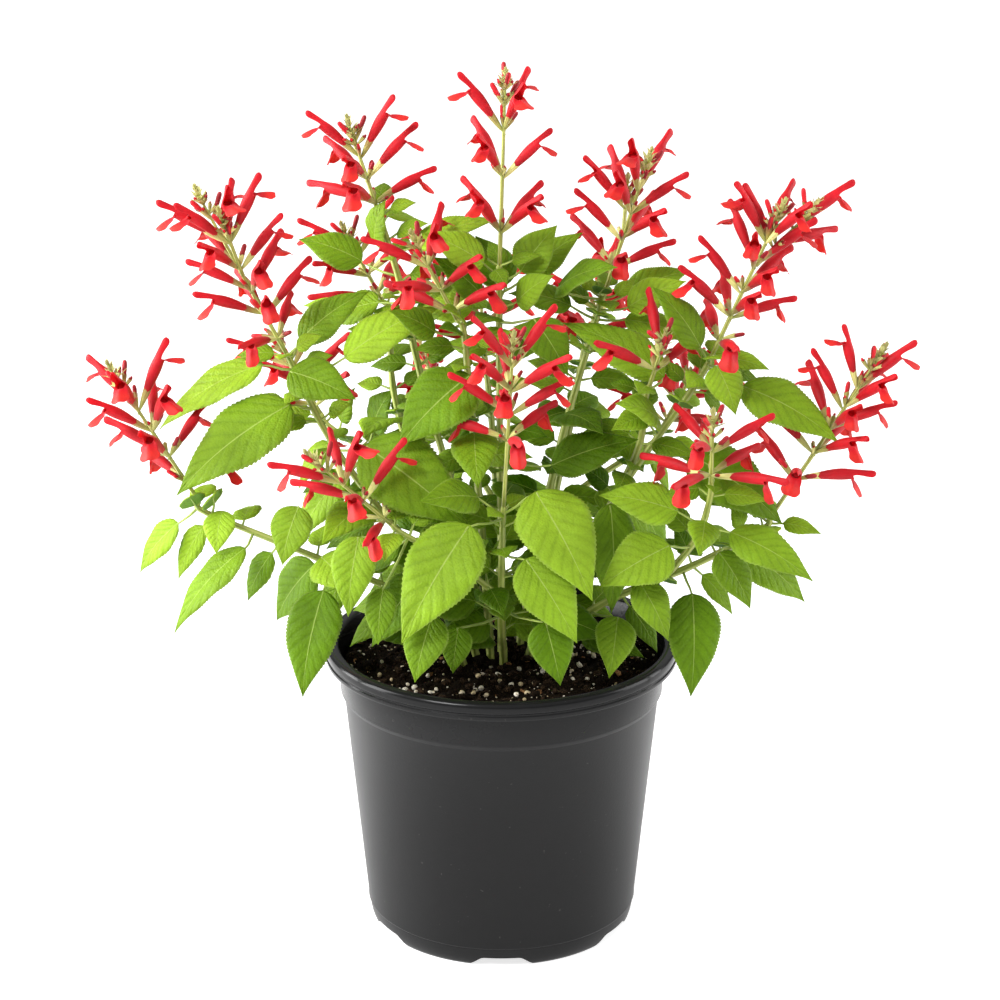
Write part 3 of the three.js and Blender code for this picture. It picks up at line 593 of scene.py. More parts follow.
def open_piece():
    bm = open_organ()
    bm.verts.layers.float.new("tone")
    return bm


def stamp(bm, organ, place, tone=0.5):
    first = len(bm.verts)
    bm.from_mesh(organ)
    bm.verts.ensure_lookup_table()
    tones = bm.verts.layers.float["tone"]
    for v in bm.verts[first:]:
        v.co = Vector(place(v.co)) * MM
        v[tones] = tone


def close_piece(name, bm, materials, nodes=()):
    bmesh.ops.remove_doubles(bm, verts=bm.verts, dist=1e-6)
    bmesh.ops.dissolve_degenerate(bm, edges=bm.edges, dist=1e-7)
    mesh = to_mesh(name, bm)
    for material in materials:
        mesh.materials.append(material)
    piece = linked(name, mesh)
    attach(piece, "root")
    if nodes:
        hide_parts(*nodes)
    print(name, "has", len(mesh.polygons), "faces")
    return piece


def thicken(piece, thickness, under=0):
    wall = piece.modifiers.new("thickness", "SOLIDIFY")
    wall.thickness = thickness * MM
    wall.offset = 0
    wall.material_offset = under


def round_off(piece):
    soft = piece.modifiers.new("rounding", "SUBSURF")
    soft.levels = 1
    soft.render_levels = 1


# %% [markdown]
# A grid is the unrolled skin of a tube. Rolled up along a curve it gives a stem, a leaf stalk, a calyx or
# a petal tube, and its own UV map then runs along and around the organ for free.

# %% Flat skins to roll and bend
def skin(name, steps, sides, material=0):
    bm = open_organ()
    bmesh.ops.create_grid(bm, x_segments=steps, y_segments=sides, size=0.5, calc_uvs=True)
    return as_mesh(name, bm, material)


def frame_at(path, t, up):
    forward = heading(path, t)
    side = unit(cross(forward, up))
    return forward, side, cross(side, forward)


print("a skin of 8 by 6 has", len(skin("trial", 8, 6).polygons), "faces")

# %% [markdown]
# ## Effects that several finishes share
# A living surface is never one colour. Blotches of lighter and darker tissue are on leaves, stems and
# petals alike, and so is the soft fuzz that this sage is covered in. Each effect is a node group with
# named sockets, built once, and each material sets its own values.

# %% Small helpers for nodes
def put(tree, kind, inputs, **settings):
    made = tree.nodes.new(kind)
    for name, value in settings.items():
        setattr(made, name, value)
    for name, value in inputs.items():
        socket = made.inputs[name]
        if isinstance(value, bpy.types.NodeSocket):
            tree.links.new(value, socket)
        else:
            socket.default_value = value
    return made


def calc(tree, operation, a, b=0.0, c=0.0):
    return put(tree, "ShaderNodeMath", {0: a, 1: b, 2: c}, operation=operation).outputs[0]


def blended(tree, factor, a, b, way="MIX"):
    made = put(tree, "ShaderNodeMix", {0: factor, 6: a, 7: b}, data_type="RGBA", blend_type=way)
    return made.outputs[2]


def faded(tree, value, low, high):
    inputs = {"Value": value, "From Min": low, "From Max": high}
    return put(tree, "ShaderNodeMapRange", inputs, interpolation_type="SMOOTHSTEP").outputs[0]


def new_group(name, inputs, outputs):
    tree = bpy.data.node_groups.new(name, "ShaderNodeTree")
    for socket, default in inputs.items():
        made = tree.interface.new_socket(socket, in_out="INPUT", socket_type="NodeSocketFloat")
        made.default_value = default
    for socket in outputs:
        tree.interface.new_socket(socket, in_out="OUTPUT", socket_type="NodeSocketFloat")
    return tree, tree.nodes.new("NodeGroupInput").outputs, tree.nodes.new("NodeGroupOutput").inputs


def shared(tree, group, **values):
    made = tree.nodes.new("ShaderNodeGroup")
    made.node_tree = group
    for name, value in values.items():
        made.inputs[name].default_value = value
    return made.outputs


def object_place(tree):
    return put(tree, "ShaderNodeTexCoord", {}).outputs["Object"]


def organ_ways(tree):
    """How far along and how far around its organ a point lies, from the organ's own UV map."""
    way = put(tree, "ShaderNodeUVMap", {}, uv_map="organ").outputs[0]
    return put(tree, "ShaderNodeSeparateXYZ", {"Vector": way}).outputs


# %% Mottling: broad blotches and fine ones together
mottling, given, result = new_group("mottling", {"Scale": 60.0, "Strength": 0.2}, ["Shade"])
place = object_place(mottling)
broad = put(mottling, "ShaderNodeTexNoise", {"Vector": place, "Scale": given["Scale"], "Detail": 3.0})
fine_scale = calc(mottling, "MULTIPLY", given["Scale"], 9.0)
fine = put(mottling, "ShaderNodeTexNoise", {"Vector": place, "Scale": fine_scale, "Detail": 2.0})
most = calc(mottling, "MULTIPLY", broad.outputs[0], 0.8)
both = calc(mottling, "MULTIPLY_ADD", fine.outputs[0], 0.2, most)
swing = calc(mottling, "MULTIPLY", calc(mottling, "SUBTRACT", both, 0.5), given["Strength"])
mottling.links.new(calc(mottling, "MULTIPLY_ADD", swing, 4.0, 1.0), result["Shade"])
print("mottling nodes:", len(mottling.nodes))

# %% Fuzz: the short hairs on every soft surface, as relief
fuzz, given, result = new_group("fuzz", {"Scale": 2500.0}, ["Height"])
place = object_place(fuzz)
hairs = put(fuzz, "ShaderNodeTexNoise", {"Vector": place, "Scale": given["Scale"], "Detail": 1.0})
fuzz.links.new(hairs.outputs[0], result["Height"])
print("fuzz nodes:", len(fuzz.nodes))

# %% [markdown]
# A sage leaf is quilted: side veins leave the midrib in pairs, arch towards the tip, and sink below the
# blisters between them, which a fine net divides further. The UV map of a blade gives the way along and
# across, so one formula draws the side veins, and cells between points draw the net. The same relief is
# also painted into the colour: painted shade in the furrows and along the net, painted light on the
# blisters.

# %% The veins of a blade
vein_pairs = 7.5
vein_sweep = 0.38
sweep_loss = 0.45
veining, given, result = new_group("veining", {"Net": 850.0}, ["Midrib", "Vein", "Height", "Shade", "Edge"])
ways_apart = organ_ways(veining)
across = calc(veining, "ABSOLUTE", calc(veining, "MULTIPLY_ADD", ways_apart[1], 2.0, -1.0))
sweep = calc(veining, "MULTIPLY_ADD", ways_apart[0], -vein_sweep * sweep_loss, vein_sweep)
swept = calc(veining, "MULTIPLY", calc(veining, "POWER", across, 0.9), sweep)
phase = calc(veining, "MULTIPLY", calc(veining, "SUBTRACT", ways_apart[0], swept), vein_pairs)
place = object_place(veining)
waver = put(veining, "ShaderNodeTexNoise", {"Vector": place, "Scale": 70.0, "Detail": 0.0}).outputs[0]
phase = calc(veining, "MULTIPLY_ADD", waver, 0.35, phase)
gap = calc(veining, "PINGPONG", phase, 0.5)
side_vein = calc(veining, "SUBTRACT", 1.0, faded(veining, gap, 0.0, 0.08))
swell = faded(veining, gap, 0.0, 0.3)
taper = calc(veining, "MULTIPLY_ADD", ways_apart[0], -0.02, 0.04)
midrib = calc(veining, "SUBTRACT", 1.0, faded(veining, across, 0.0, taper))
net_inputs = {"Vector": place, "Scale": given["Net"]}
net = put(veining, "ShaderNodeTexVoronoi", net_inputs, feature="F1").outputs["Distance"]
height = calc(veining, "MULTIPLY_ADD", swell, 0.4, calc(veining, "MULTIPLY", net, -0.6))
veining.links.new(midrib, result["Midrib"])
veining.links.new(side_vein, result["Vein"])
veining.links.new(height, result["Height"])
# Painted light and shade: Shade follows the relief, darker in the vein furrows and along the net's cell
# edges, lighter on the blisters.
veining.links.new(calc(veining, "MULTIPLY_ADD", height, 0.26, 1.0), result["Shade"])
veining.links.new(faded(veining, across, 0.86, 1.0), result["Edge"])
print("veining nodes:", len(veining.nodes))

# %% [markdown]
# ## The finishes
# Each finish is one Principled surface. What is the same all over is set on the shader itself, and only
# what changes over the surface comes in through nodes. Thin tissue lets light through, so leaves and
# petals mix in a translucent part.

# %% A finish: one surface, with relief and a share of light that passes through
def new_finish(name, roughness, **settings):
    material = bpy.data.materials.new(name)
    material.use_nodes = True
    tree = material.node_tree
    surface = tree.nodes["Principled BSDF"]
    surface.inputs["Roughness"].default_value = roughness
    for socket, value in settings.items():
        surface.inputs[socket.replace("_", " ")].default_value = value
    return material, tree, surface


def relief(tree, surface, height, depth):
    inputs = {"Height": height, "Distance": depth * MM, "Strength": 1.0}
    bump = put(tree, "ShaderNodeBump", inputs).outputs[0]
    tree.links.new(bump, surface.inputs["Normal"])
    return bump


def see_through(tree, surface, colour, share, normal):
    behind = put(tree, "ShaderNodeBsdfTranslucent", {"Color": colour, "Normal": normal})
    both = put(tree, "ShaderNodeMixShader", {0: share, 1: surface.outputs[0], 2: behind.outputs[0]})
    tree.links.new(both.outputs[0], tree.nodes["Material Output"].inputs["Surface"])


def tone_of(tree):
    return put(tree, "ShaderNodeAttribute", {}, attribute_name="tone").outputs["Fac"]


def shaded(tree, colour, shade):
    return blended(tree, 1.0, colour, shade, "MULTIPLY")


def paint(tree, surface, colour, scale, strength):
    """Mottle a colour, and set it as the surface's own."""
    spots = shared(tree, mottling, Scale=scale, Strength=strength)
    colour = shaded(tree, colour, spots["Shade"])
    tree.links.new(colour, surface.inputs["Base Color"])
    return colour


# %% Leaf blades, above and below
# Each blade mixes its deep and its bright colour by its tone, which is partly random and partly painted
# light and shade from where the blade stands.
leaf_bright = (0.430, 0.650, 0.042, 1)
leaf_deep = (0.085, 0.200, 0.001, 1)
vein_pale = (0.540, 0.680, 0.170, 1)
under_pale = (0.250, 0.400, 0.100, 1)
under_deep = (0.11, 0.24, 0.05, 1)
# Painted shade: along the side veins the blade's colour is darkened, as if shadowed in the sunken furrows.
painted_furrow_shade = (0.62, 0.75, 0.6, 1)
furrow_share = 0.18
edge_share = 0.25
glow_tint = (1.25, 1.15, 0.55, 1)
leaf_through = 0.38


def leaf_finish(name, light, deep, vein_colour, vein_share, depth, roughness):
    material, tree, surface = new_finish(name, roughness, Specular_IOR_Level=0.14)
    veins = shared(tree, veining, Net=850.0)
    spots = shared(tree, mottling, Scale=32.0, Strength=0.28)
    # The tone carries painted light and shade as well as a random spread.
    colour = blended(tree, tone_of(tree), deep, light)
    # Random mottling first, then the painted light and shade that follow the quilted relief.
    colour = shaded(tree, shaded(tree, colour, spots["Shade"]), veins["Shade"])
    # Painted shade in the vein furrows.
    furrow = calc(tree, "MULTIPLY", veins["Vein"], furrow_share)
    colour = blended(tree, furrow, colour, shaded(tree, colour, painted_furrow_shade))
    colour = blended(tree, calc(tree, "MULTIPLY", veins["Midrib"], vein_share), colour, vein_colour)
    colour = blended(tree, calc(tree, "MULTIPLY", veins["Edge"], edge_share), colour, vein_colour)
    tree.links.new(colour, surface.inputs["Base Color"])
    normal = relief(tree, surface, veins["Height"], depth)
    see_through(tree, surface, shaded(tree, colour, glow_tint), leaf_through, normal)
    return material


leaf_top = leaf_finish("leaf_top", leaf_bright, leaf_deep, vein_pale, 0.75, 0.5, 0.45)
leaf_under = leaf_finish("leaf_under", under_pale, under_deep, vein_pale, 0.6, -0.4, 0.62)
print("leaf finishes:", leaf_top.name, leaf_under.name)

# %% Stems and stalks: pale ridges, green grooves
stalk_green = (0.230, 0.370, 0.035, 1)
stalk_ridge = (0.420, 0.520, 0.110, 1)
stalk_ripe = (0.340, 0.270, 0.060, 1)
ridge_ripe = (0.500, 0.440, 0.140, 1)
stalk, tree, surface = new_finish("stalk", 0.5, Sheen_Weight=0.1, Sheen_Roughness=0.4)
around = organ_ways(tree)[1]
wave = calc(tree, "ABSOLUTE", calc(tree, "SINE", calc(tree, "MULTIPLY", around, 2 * math.tau)))
ridge = faded(tree, wave, 0.55, 1.0)
groove = blended(tree, tone_of(tree), stalk_green, stalk_ripe)
colour = blended(tree, ridge, groove, blended(tree, tone_of(tree), stalk_ridge, ridge_ripe))
paint(tree, surface, colour, 90.0, 0.2)
relief(tree, surface, shared(tree, fuzz, Scale=1800.0)["Height"], 0.15)
print("finish:", stalk.name)

# %% Calyces and bracts: ribbed, olive, flushed with red
calyx_young = (0.860, 0.850, 0.300, 1)
calyx_green = (0.450, 0.510, 0.120, 1)
calyx_flush = (0.280, 0.060, 0.025, 1)
calyx_skin, tree, surface = new_finish("calyx_skin", 0.6, Sheen_Weight=0.15, Sheen_Roughness=0.4)
ways_apart = organ_ways(tree)
ribs = calc(tree, "ABSOLUTE", calc(tree, "SINE", calc(tree, "MULTIPLY", ways_apart[1], 4 * math.tau)))
blush = faded(tree, ways_apart[0], 0.15, 1.0)
flush = calc(tree, "MULTIPLY", blush, calc(tree, "MULTIPLY", tone_of(tree), 0.9))
colour = blended(tree, faded(tree, tone_of(tree), 0.15, 0.45), calyx_young, calyx_green)
paint(tree, surface, blended(tree, flush, colour, calyx_flush), 120.0, 0.25)
relief(tree, surface, calc(tree, "ADD", ribs, shared(tree, fuzz, Scale=2200.0)["Height"]), 0.2)
print("finish:", calyx_skin.name)

# %% Petals: velvet red, deeper at the base, warmer on the lip
petal_red = (0.700, 0.009, 0.020, 1)
petal_deep = (0.560, 0.006, 0.014, 1)
petal_warm = (0.800, 0.030, 0.022, 1)
petal_sheen = (1.0, 0.45, 0.45, 1)
bud_dark = (0.300, 0.008, 0.014, 1)
bud_brown = (0.160, 0.030, 0.012, 1)


def petal_finish(name, red, deep, warm, share):
    material, tree, surface = new_finish(
        name, 0.5, Sheen_Weight=0.45, Sheen_Roughness=0.35, Sheen_Tint=petal_sheen,
        Specular_IOR_Level=0.35)
    ways_apart = organ_ways(tree)
    colour = blended(tree, faded(tree, ways_apart[0], 0.15, 0.6), deep, red)
    colour = blended(tree, faded(tree, ways_apart[1], 0.25, 0.8), colour, warm)
    colour = paint(tree, surface, colour, 110.0, 0.22)
    normal = relief(tree, surface, shared(tree, fuzz, Scale=2600.0)["Height"], 0.12)
    see_through(tree, surface, colour, share, normal)
    return material


petal = petal_finish("petal", petal_red, petal_deep, petal_warm, 0.36)
bud_skin = petal_finish("bud_skin", bud_dark, bud_brown, petal_red, 0.1)
print("finishes:", petal.name, bud_skin.name)

# %% Black moulded plastic for the pot, smoother on the collar and smoothest on the rim
shoulder = (84.5, 131.4)
rim_drop = 9
black = (0.007, 0.007, 0.0072, 1)
dust_grey = (0.30, 0.29, 0.26, 1)
pot_black, tree, surface = new_finish("pot_black", 0.34, Specular_IOR_Level=0.17)
spots = shared(tree, mottling, Scale=14.0, Strength=0.2)
dust = shared(tree, fuzz, Scale=420.0)["Height"]
dusty = calc(tree, "MULTIPLY", faded(tree, dust, 0.75, 0.82), 0.07)
colour = blended(tree, dusty, shaded(tree, black, spots["Shade"]), dust_grey)
tree.links.new(colour, surface.inputs["Base Color"])
height = put(tree, "ShaderNodeSeparateXYZ", {"Vector": object_place(tree)}).outputs[2]
on_collar = faded(tree, height, shoulder[1] * MM, (shoulder[1] + 2) * MM)
on_rim = faded(tree, height, (pot_height - rim_drop - 1) * MM, (pot_height - rim_drop) * MM)
rough = calc(tree, "MULTIPLY_ADD", calc(tree, "SUBTRACT", spots["Shade"], 1.0), 0.12, 0.36)
rough = calc(tree, "MULTIPLY_ADD", on_collar, -0.10, rough)
rough = calc(tree, "MULTIPLY_ADD", on_rim, -0.07, rough)
tree.links.new(rough, surface.inputs["Roughness"])
relief(tree, surface, shared(tree, fuzz, Scale=900.0)["Height"], 0.03)
print("finish:", pot_black.name)

# %% Peat, perlite and bark
def earth_finish(name, dark, light, scale, depth, roughness=0.95, pale=None):
    material, tree, surface = new_finish(name, roughness, Specular_IOR_Level=0.06)
    grain = shared(tree, fuzz, Scale=scale * 6)["Height"]
    if pale:
        light = blended(tree, faded(tree, tone_of(tree), 0.1, 0.75), light, pale)
    paint(tree, surface, blended(tree, faded(tree, grain, 0.35, 0.7), dark, light), scale, 0.35)
    relief(tree, surface, grain, depth)
    return material


peat = earth_finish("peat", (0.0015, 0.001, 0.0006, 1), (0.016, 0.010, 0.005, 1), 220.0, 0.8)
crumb = earth_finish("crumb", (0.003, 0.002, 0.001, 1), (0.012, 0.007, 0.004, 1), 300.0, 0.3, 0.9,
                     (0.058, 0.035, 0.019, 1))
perlite = earth_finish("perlite", (0.430, 0.360, 0.230, 1), (0.620, 0.470, 0.250, 1), 380.0, 0.3, 0.8,
                       (0.920, 0.890, 0.810, 1))
bark = earth_finish("bark", (0.120, 0.050, 0.018, 1), (0.420, 0.230, 0.100, 1), 260.0, 0.4, 0.8)
print("earth finishes:", peat.name, crumb.name, perlite.name, bark.name)

# %% [markdown]
# ## The pot
# The pot is injection moulded, so every part of it is round about one axis, but for six drain notches in
# the foot. It is drawn as half of its section, from the middle of the floor up the outside, over the
# rolled rim and down the inside, and spun once round. The notches are cut with wedges afterwards.

# %% Draw the wall's section and spin it
foot_radius = 69.0
foot_line = (72.6, 11.6)
wall = 1.8
collar = rim_radius - 6.4
lip = pot_height - 1.0
skirt = pot_height - rim_drop
section = [
    (0, 0), (foot_radius - 0.6, 0), (foot_radius + 0.5, 0.5), (foot_radius + 1.5, 2.0),
    (foot_radius + 2.3, 4.5), (foot_radius + 2.9, 7.5), (foot_line[0] - 0.5, foot_line[1] - 1.0),
    (foot_line[0] + 0.1, foot_line[1] - 0.5), (foot_line[0] + 0.3, foot_line[1]),
    (foot_line[0] + 0.1, foot_line[1] + 0.7), (shoulder[0] - 0.3, shoulder[1] - 1.9),
    (shoulder[0] + 0.1, shoulder[1] - 1.3), (shoulder[0] + 1.4, shoulder[1] + 0.6),
    (shoulder[0] + 1.75, shoulder[1] + 1.4),
    (collar - 0.5, skirt + 0.2), (collar + 0.2, skirt + 0.5), (rim_radius - 1.4, skirt),
    (rim_radius - 0.5, skirt + 0.1), (rim_radius - 0.1, skirt + 0.7), (rim_radius - 0.1, skirt + 2.1),
    (rim_radius - 0.7, skirt + 2.7), (rim_radius - 0.7, skirt + 3.4), (rim_radius - 0.2, skirt + 4.0),
    (rim_radius, skirt + 4.6), (rim_radius - 0.1, lip - 0.9), (rim_radius - 0.6, lip + 0.4),
    (rim_radius - 1.5, pot_height), (collar + 0.9, pot_height), (collar - 0.1, lip + 0.5),
    (collar - 0.7, lip - 0.6), (shoulder[0] + 0.5, shoulder[1] + 2.6),
    (shoulder[0] - 0.3, shoulder[1] + 0.6),
    (shoulder[0] - wall, shoulder[1] - 0.4), (foot_line[0] - wall, foot_line[1]),
    (foot_radius - wall, 4.5), (foot_radius - wall - 1.2, 3.0), (0, 3.0),
]
pot_turns = 192


def spun(half, turns):
    bm = bmesh.new()
    points = [bm.verts.new((r * MM, 0, z * MM)) for r, z in half]
    lines = [bm.edges.new(pair) for pair in zip(points, points[1:])]
    bmesh.ops.spin(bm, geom=points + lines, cent=(0, 0, 0), axis=(0, 0, 1), dvec=(0, 0, 0),
                   angle=math.tau, steps=turns, use_merge=True, use_duplicate=False)
    bmesh.ops.remove_doubles(bm, verts=bm.verts, dist=1e-6)
    return bm


def smooth_outward(bm):
    bmesh.ops.recalc_face_normals(bm, faces=bm.faces)
    for face in bm.faces:
        face.smooth = True


bm = spun(section, pot_turns)
smooth_outward(bm)
pot = close_piece("nursery_pot", bm, [pot_black], ["pot"])

# %% Cut the six drain notches in the foot
notch = {"count": 6, "top": 21, "bottom": 35, "height": 5.3, "depth": 14, "corner": 1.5}
overshoot = {"wide": 1.05, "out": 10, "down": 1.0}
sharp_angle = 38
bm = bmesh.new()
bmesh.ops.create_cube(bm, size=1)
for v in bm.verts:
    is_low = v.co.z < 0
    width = notch["bottom"] * overshoot["wide"] if is_low else notch["top"]
    depth = -foot_radius + (notch["depth"] if v.co.y > 0 else -overshoot["out"])
    height = -overshoot["down"] if is_low else notch["height"]
    v.co = Vector((math.copysign(width / 2, v.co.x), depth, height)) * MM
upper = [edge for edge in bm.edges if all(v.co.z > 0 for v in edge.verts)]
sides = [edge for edge in upper if abs(edge.verts[0].co.x - edge.verts[1].co.x) < 1e-6]
bmesh.ops.bevel(bm, geom=sides, offset=notch["corner"] * MM, offset_type="OFFSET", segments=3,
                profile=0.5, affect="EDGES", material=-1)
copies = notch["count"] - 1
bmesh.ops.spin(bm, geom=bm.verts[:] + bm.edges[:] + bm.faces[:], cent=(0, 0, 0), axis=(0, 0, 1),
               dvec=(0, 0, 0), angle=math.tau * copies / notch["count"], steps=copies, use_duplicate=True)
bmesh.ops.recalc_face_normals(bm, faces=bm.faces)
wedges = linked("wedges", to_mesh("wedges", bm))
cut = pot.modifiers.new("notches", "BOOLEAN")
cut.object = wedges
cut.operation = "DIFFERENCE"
cut.solver = "EXACT"
cut_mesh = bpy.data.meshes.new_from_object(pot.evaluated_get(bpy.context.evaluated_depsgraph_get()))
pot.modifiers.clear()
pot.data = cut_mesh
cut_mesh.set_sharp_from_angle(angle=math.radians(sharp_angle))
bpy.data.objects.remove(wedges)
print("pot with its notches:", len(cut_mesh.polygons), "faces")

# %% [markdown]
# ## The soil
# Peat settles into a low mound with a lumpy, crumbly top. A half section is spun into a disc with rings
# about a millimetre apart, and each point is then lifted by noise at three scales. Crumbs, perlite and
# bark chips are stamped on top as small stones of a few faces, each with its own turn and stretch.

# %% The bed of peat
soil_top = 148
soil_fall = 0.00028
soil_edge = 83.6
soil_rings = 78
soil_turns = 216
soil_noise = ((7.0, 1.5), (2.6, 1.3), (1.2, 0.7))


def lump(x, y):
    broad = 1.3 * math.sin(x * 0.31 + 1) * math.cos(y * 0.27) + 0.9 * math.sin(x * 0.13 - y * 0.41)
    rough = sum(height * noise.noise(Vector((x / wide, y / wide, wide))) for wide, height in soil_noise)
    return soil_top + 1.6 + broad + rough - soil_fall * (x * x + y * y)


rings = [(soil_edge * i / soil_rings, soil_top) for i in range(soil_rings + 1)]
rings += [(soil_edge + 0.5, soil_top - 4), (shoulder[0] - 0.6, 136), (81.5, 128)]
rings += [(70.5, 14), (66, 4), (0, 4)]
bm = spun(rings, soil_turns)
for v in bm.verts:
    if v.co.z > (soil_top - 0.5) * MM:
        v.co.z = lump(v.co.x / MM, v.co.y / MM) * MM
smooth_outward(bm)
close_piece("peat_bed", bm, [peat], ["potting_soil"])

# %% Crumbs, perlite and bark on the peat
def stone(name, stretch, rough, salt):
    bm = open_organ()
    bmesh.ops.create_icosphere(bm, subdivisions=1, radius=1)
    for v in bm.verts:
        v.co *= 1 + rough * noise.noise(v.co * 1.7 + Vector((salt, 0, 0)))
    bmesh.ops.scale(bm, vec=stretch, verts=bm.verts)
    return as_mesh(name, bm)


def scatter(name, material, shapes, count, sizes, sink, inner=0.0, fine=2.2):
    bm = open_piece()
    for i in range(count):
        angle = math.pi * draw()
        share = inner + (1 - inner) * (draw() + 1) / 2
        far = (soil_edge - 2) * math.sqrt(share)
        x, y = far * math.cos(angle), far * math.sin(angle)
        grade = (draw() + 1) / 2
        radius = sizes[0] + (sizes[1] - sizes[0]) * grade ** fine
        spin = Matrix.Rotation(math.pi * draw(), 3, "Z") @ Matrix.Rotation(math.pi * draw(), 3, "X")
        middle = Vector((x, y, lump(x, y) + radius * sink))
        stamp(bm, shapes[i % len(shapes)], lambda co: middle + spin @ (co * radius), (draw() + 1) / 2)
    return close_piece(name, bm, [material])


pebbles = [stone("pebble_" + str(i), (1, 0.85, 0.8), 0.9, i * 7.3) for i in range(5)]
flakes = [stone("flake_" + str(i), (1.5, 0.7, 0.3), 0.8, i * 3.1) for i in range(4)]
scatter("peat_crumbs", crumb, pebbles + flakes, 2100, (0.6, 2.4), 0.25)
grains = scatter("perlite_grains", perlite, pebbles, 560, (0.4, 2.2), 0.4, 0.05, 2.0)
scatter("bark_chips", bark, flakes, 60, (0.9, 2.8), 0.4)
round_off(grains)

# %% [markdown]
# ## Stems and leaf stalks
# A sage stem is square, with a pale ridge along each corner, and swells a little at every joint where
# leaves stand. A skin rolled along the stem's curve takes its radius from one formula of the angle, so
# the ridges run true through every bend. A leaf's stalk runs on below its blade as the midrib.

# %% Roll the stems, their side shoots and the leaf stalks
def capped(path, radius, steps, up=(0.2, 1, 0)):
    """A rolled skin with both ends closed: the first and last rows shrink to a point."""
    edge = 1 / steps
    frames = {}

    def inside(t):
        return min(1, max(0, (t - edge) / (1 - 2 * edge)))

    def section(t, turn):
        return 0 if t < edge / 2 or t > 1 - edge / 2 else radius(inside(t), turn)

    def place(co):
        t = co.x + 0.5
        turn = (co.y + 0.5) * math.tau
        if t not in frames:
            frames[t] = (along(path, inside(t)), *frame_at(path, inside(t), up))
        middle, _, side, top = frames[t]
        r = section(t, turn)
        return add(middle, add(times(side, r * math.cos(turn)), times(top, r * math.sin(turn))))

    return place


def square(turn):
    return 0.76 + 0.24 * abs(math.cos(2 * turn)) ** 1.6


joint_swell = 0.16
swell_reach = 3.5


def stem_radius(path, foot, top, joints):
    def radius(t, turn):
        here = along(path, t)
        near = min((size(sub(here, joint)) for joint in joints), default=99)
        swell = 1 + joint_swell * math.exp(-((near / swell_reach) ** 2))
        return (foot + (top - foot) * t) / 2 * square(turn) * swell

    return radius


tip_drop = -0.06


def stalk_path(leaf):
    droop = -0.05 * size(sub(leaf["base"], leaf["root"]))
    sag = add(mix(leaf["root"], leaf["base"], 0.55), (0, 0, droop))
    below = [on_leaf(leaf, s, 0, tip_drop * leaf["length"] * s ** 3 - 0.9) for s in (0.2, 0.5, 0.8)]
    return [leaf["root"], sag, leaf["base"]] + below


def stalk_radius(t, turn):
    return petiole_width / 2 * (1 - 0.8 * t) * (0.94 + 0.06 * math.cos(3 * turn))


buried_depth = 24
shoot_share = 0.75
ring_spacing = 6
stalk_steps = 9
stalk_skin = skin("stalk_skin", stalk_steps, 6)
for stem in stems:
    bm = open_piece()
    joints = [leaf["root"] for leaf in stem["grown"]]
    for i, path in enumerate(stem["paths"]):
        buried = [add(path[0], (0, 0, -buried_depth))] if i == 0 else []
        run = buried + list(path)
        steps = max(8, round(reach_of(run) / ring_spacing))
        foot = stem_width["foot"] * (1 if i == 0 else shoot_share)
        width = stem_radius(run, foot, stem_width["top"], joints)
        stamp(bm, skin("stem_skin", steps, 16), capped(run, width, steps), 0.35)
    for leaf in stem["grown"]:
        place = capped(stalk_path(leaf), stalk_radius, stalk_steps, leaf["normal"])
        stamp(bm, stalk_skin, place, 0.1)
    close_piece(stem["name"] + "_stalks", bm, [stalk], [stem["name"]])

# %% [markdown]
# ## Leaves
# Every blade is a flat grid, bent by one function: it narrows to the outline, bites teeth into the
# margin, follows the arch from base to tip, folds along the midrib, and lifts a blister between each two
# side veins. Large leaves use a fine grid, the pairs that fill the stems a coarser one, and the young
# leaves, of which there are hundreds, the coarsest.

# %% Bend a grid into a blade
tooth_depth = 0.05
blister = 0.013


def blade_place(leaf, rows, lively):
    half_width = leaf["width"] / 2
    length = leaf["length"]
    lean = math.pi * lively

    def place(co):
        s = co.x + 0.5
        across = -2 * co.y
        a = abs(across)
        row = round(s * rows)
        margin = a ** 6
        is_tooth = row % 2
        s = min(1, s + margin * is_tooth * 0.45 / rows)
        half = half_width * outline(max(0, s)) * (1 - tooth_depth * margin * (1 - is_tooth))
        phase = vein_pairs * (s - vein_sweep * (1 - sweep_loss * s) * a ** 0.9)
        puff = abs(math.sin(math.pi * phase)) ** 0.7 * math.sin(math.pi * min(1, a)) ** 0.6
        quilt = blister * length * puff * (0.3 + 0.7 * outline(s))
        wave = math.sin(2.6 * math.tau * s + lean + 2 * across)
        ripple = wave * 0.045 * half_width * a * a * outline(s)
        curl = -0.16 * half * a ** 3
        drop = tip_drop * length * s ** 3
        return on_leaf(leaf, s, across * half, quilt + ripple + curl + drop)

    return place


tone_spread = 0.38


def tone_with_painted_light(leaf):
    """Painted light and shade, with a random spread: outer, front, left-hand and high leaves get a lighter,
    yellower tone, and those low inside the bush a darker one.
    """
    middle = mix(leaf["base"], leaf["tip"], 0.5)
    outside = math.hypot(middle[0], middle[1] * 1.3) / 190
    front = -middle[1] / 130
    left = -middle[0] / 200
    raised = min(1, (middle[2] - 150) / 90)
    high = max(0, middle[2] - 250) / 150
    # Painted light from the outside, the front, the left and above, plus a random spread, and painted shade
    # low in the bush.
    light = 0.28 + 0.42 * outside + 0.2 * front + 0.16 * left + 0.25 * high + tone_spread * draw()
    return min(1, max(0, light * (0.42 + 0.58 * raised)))


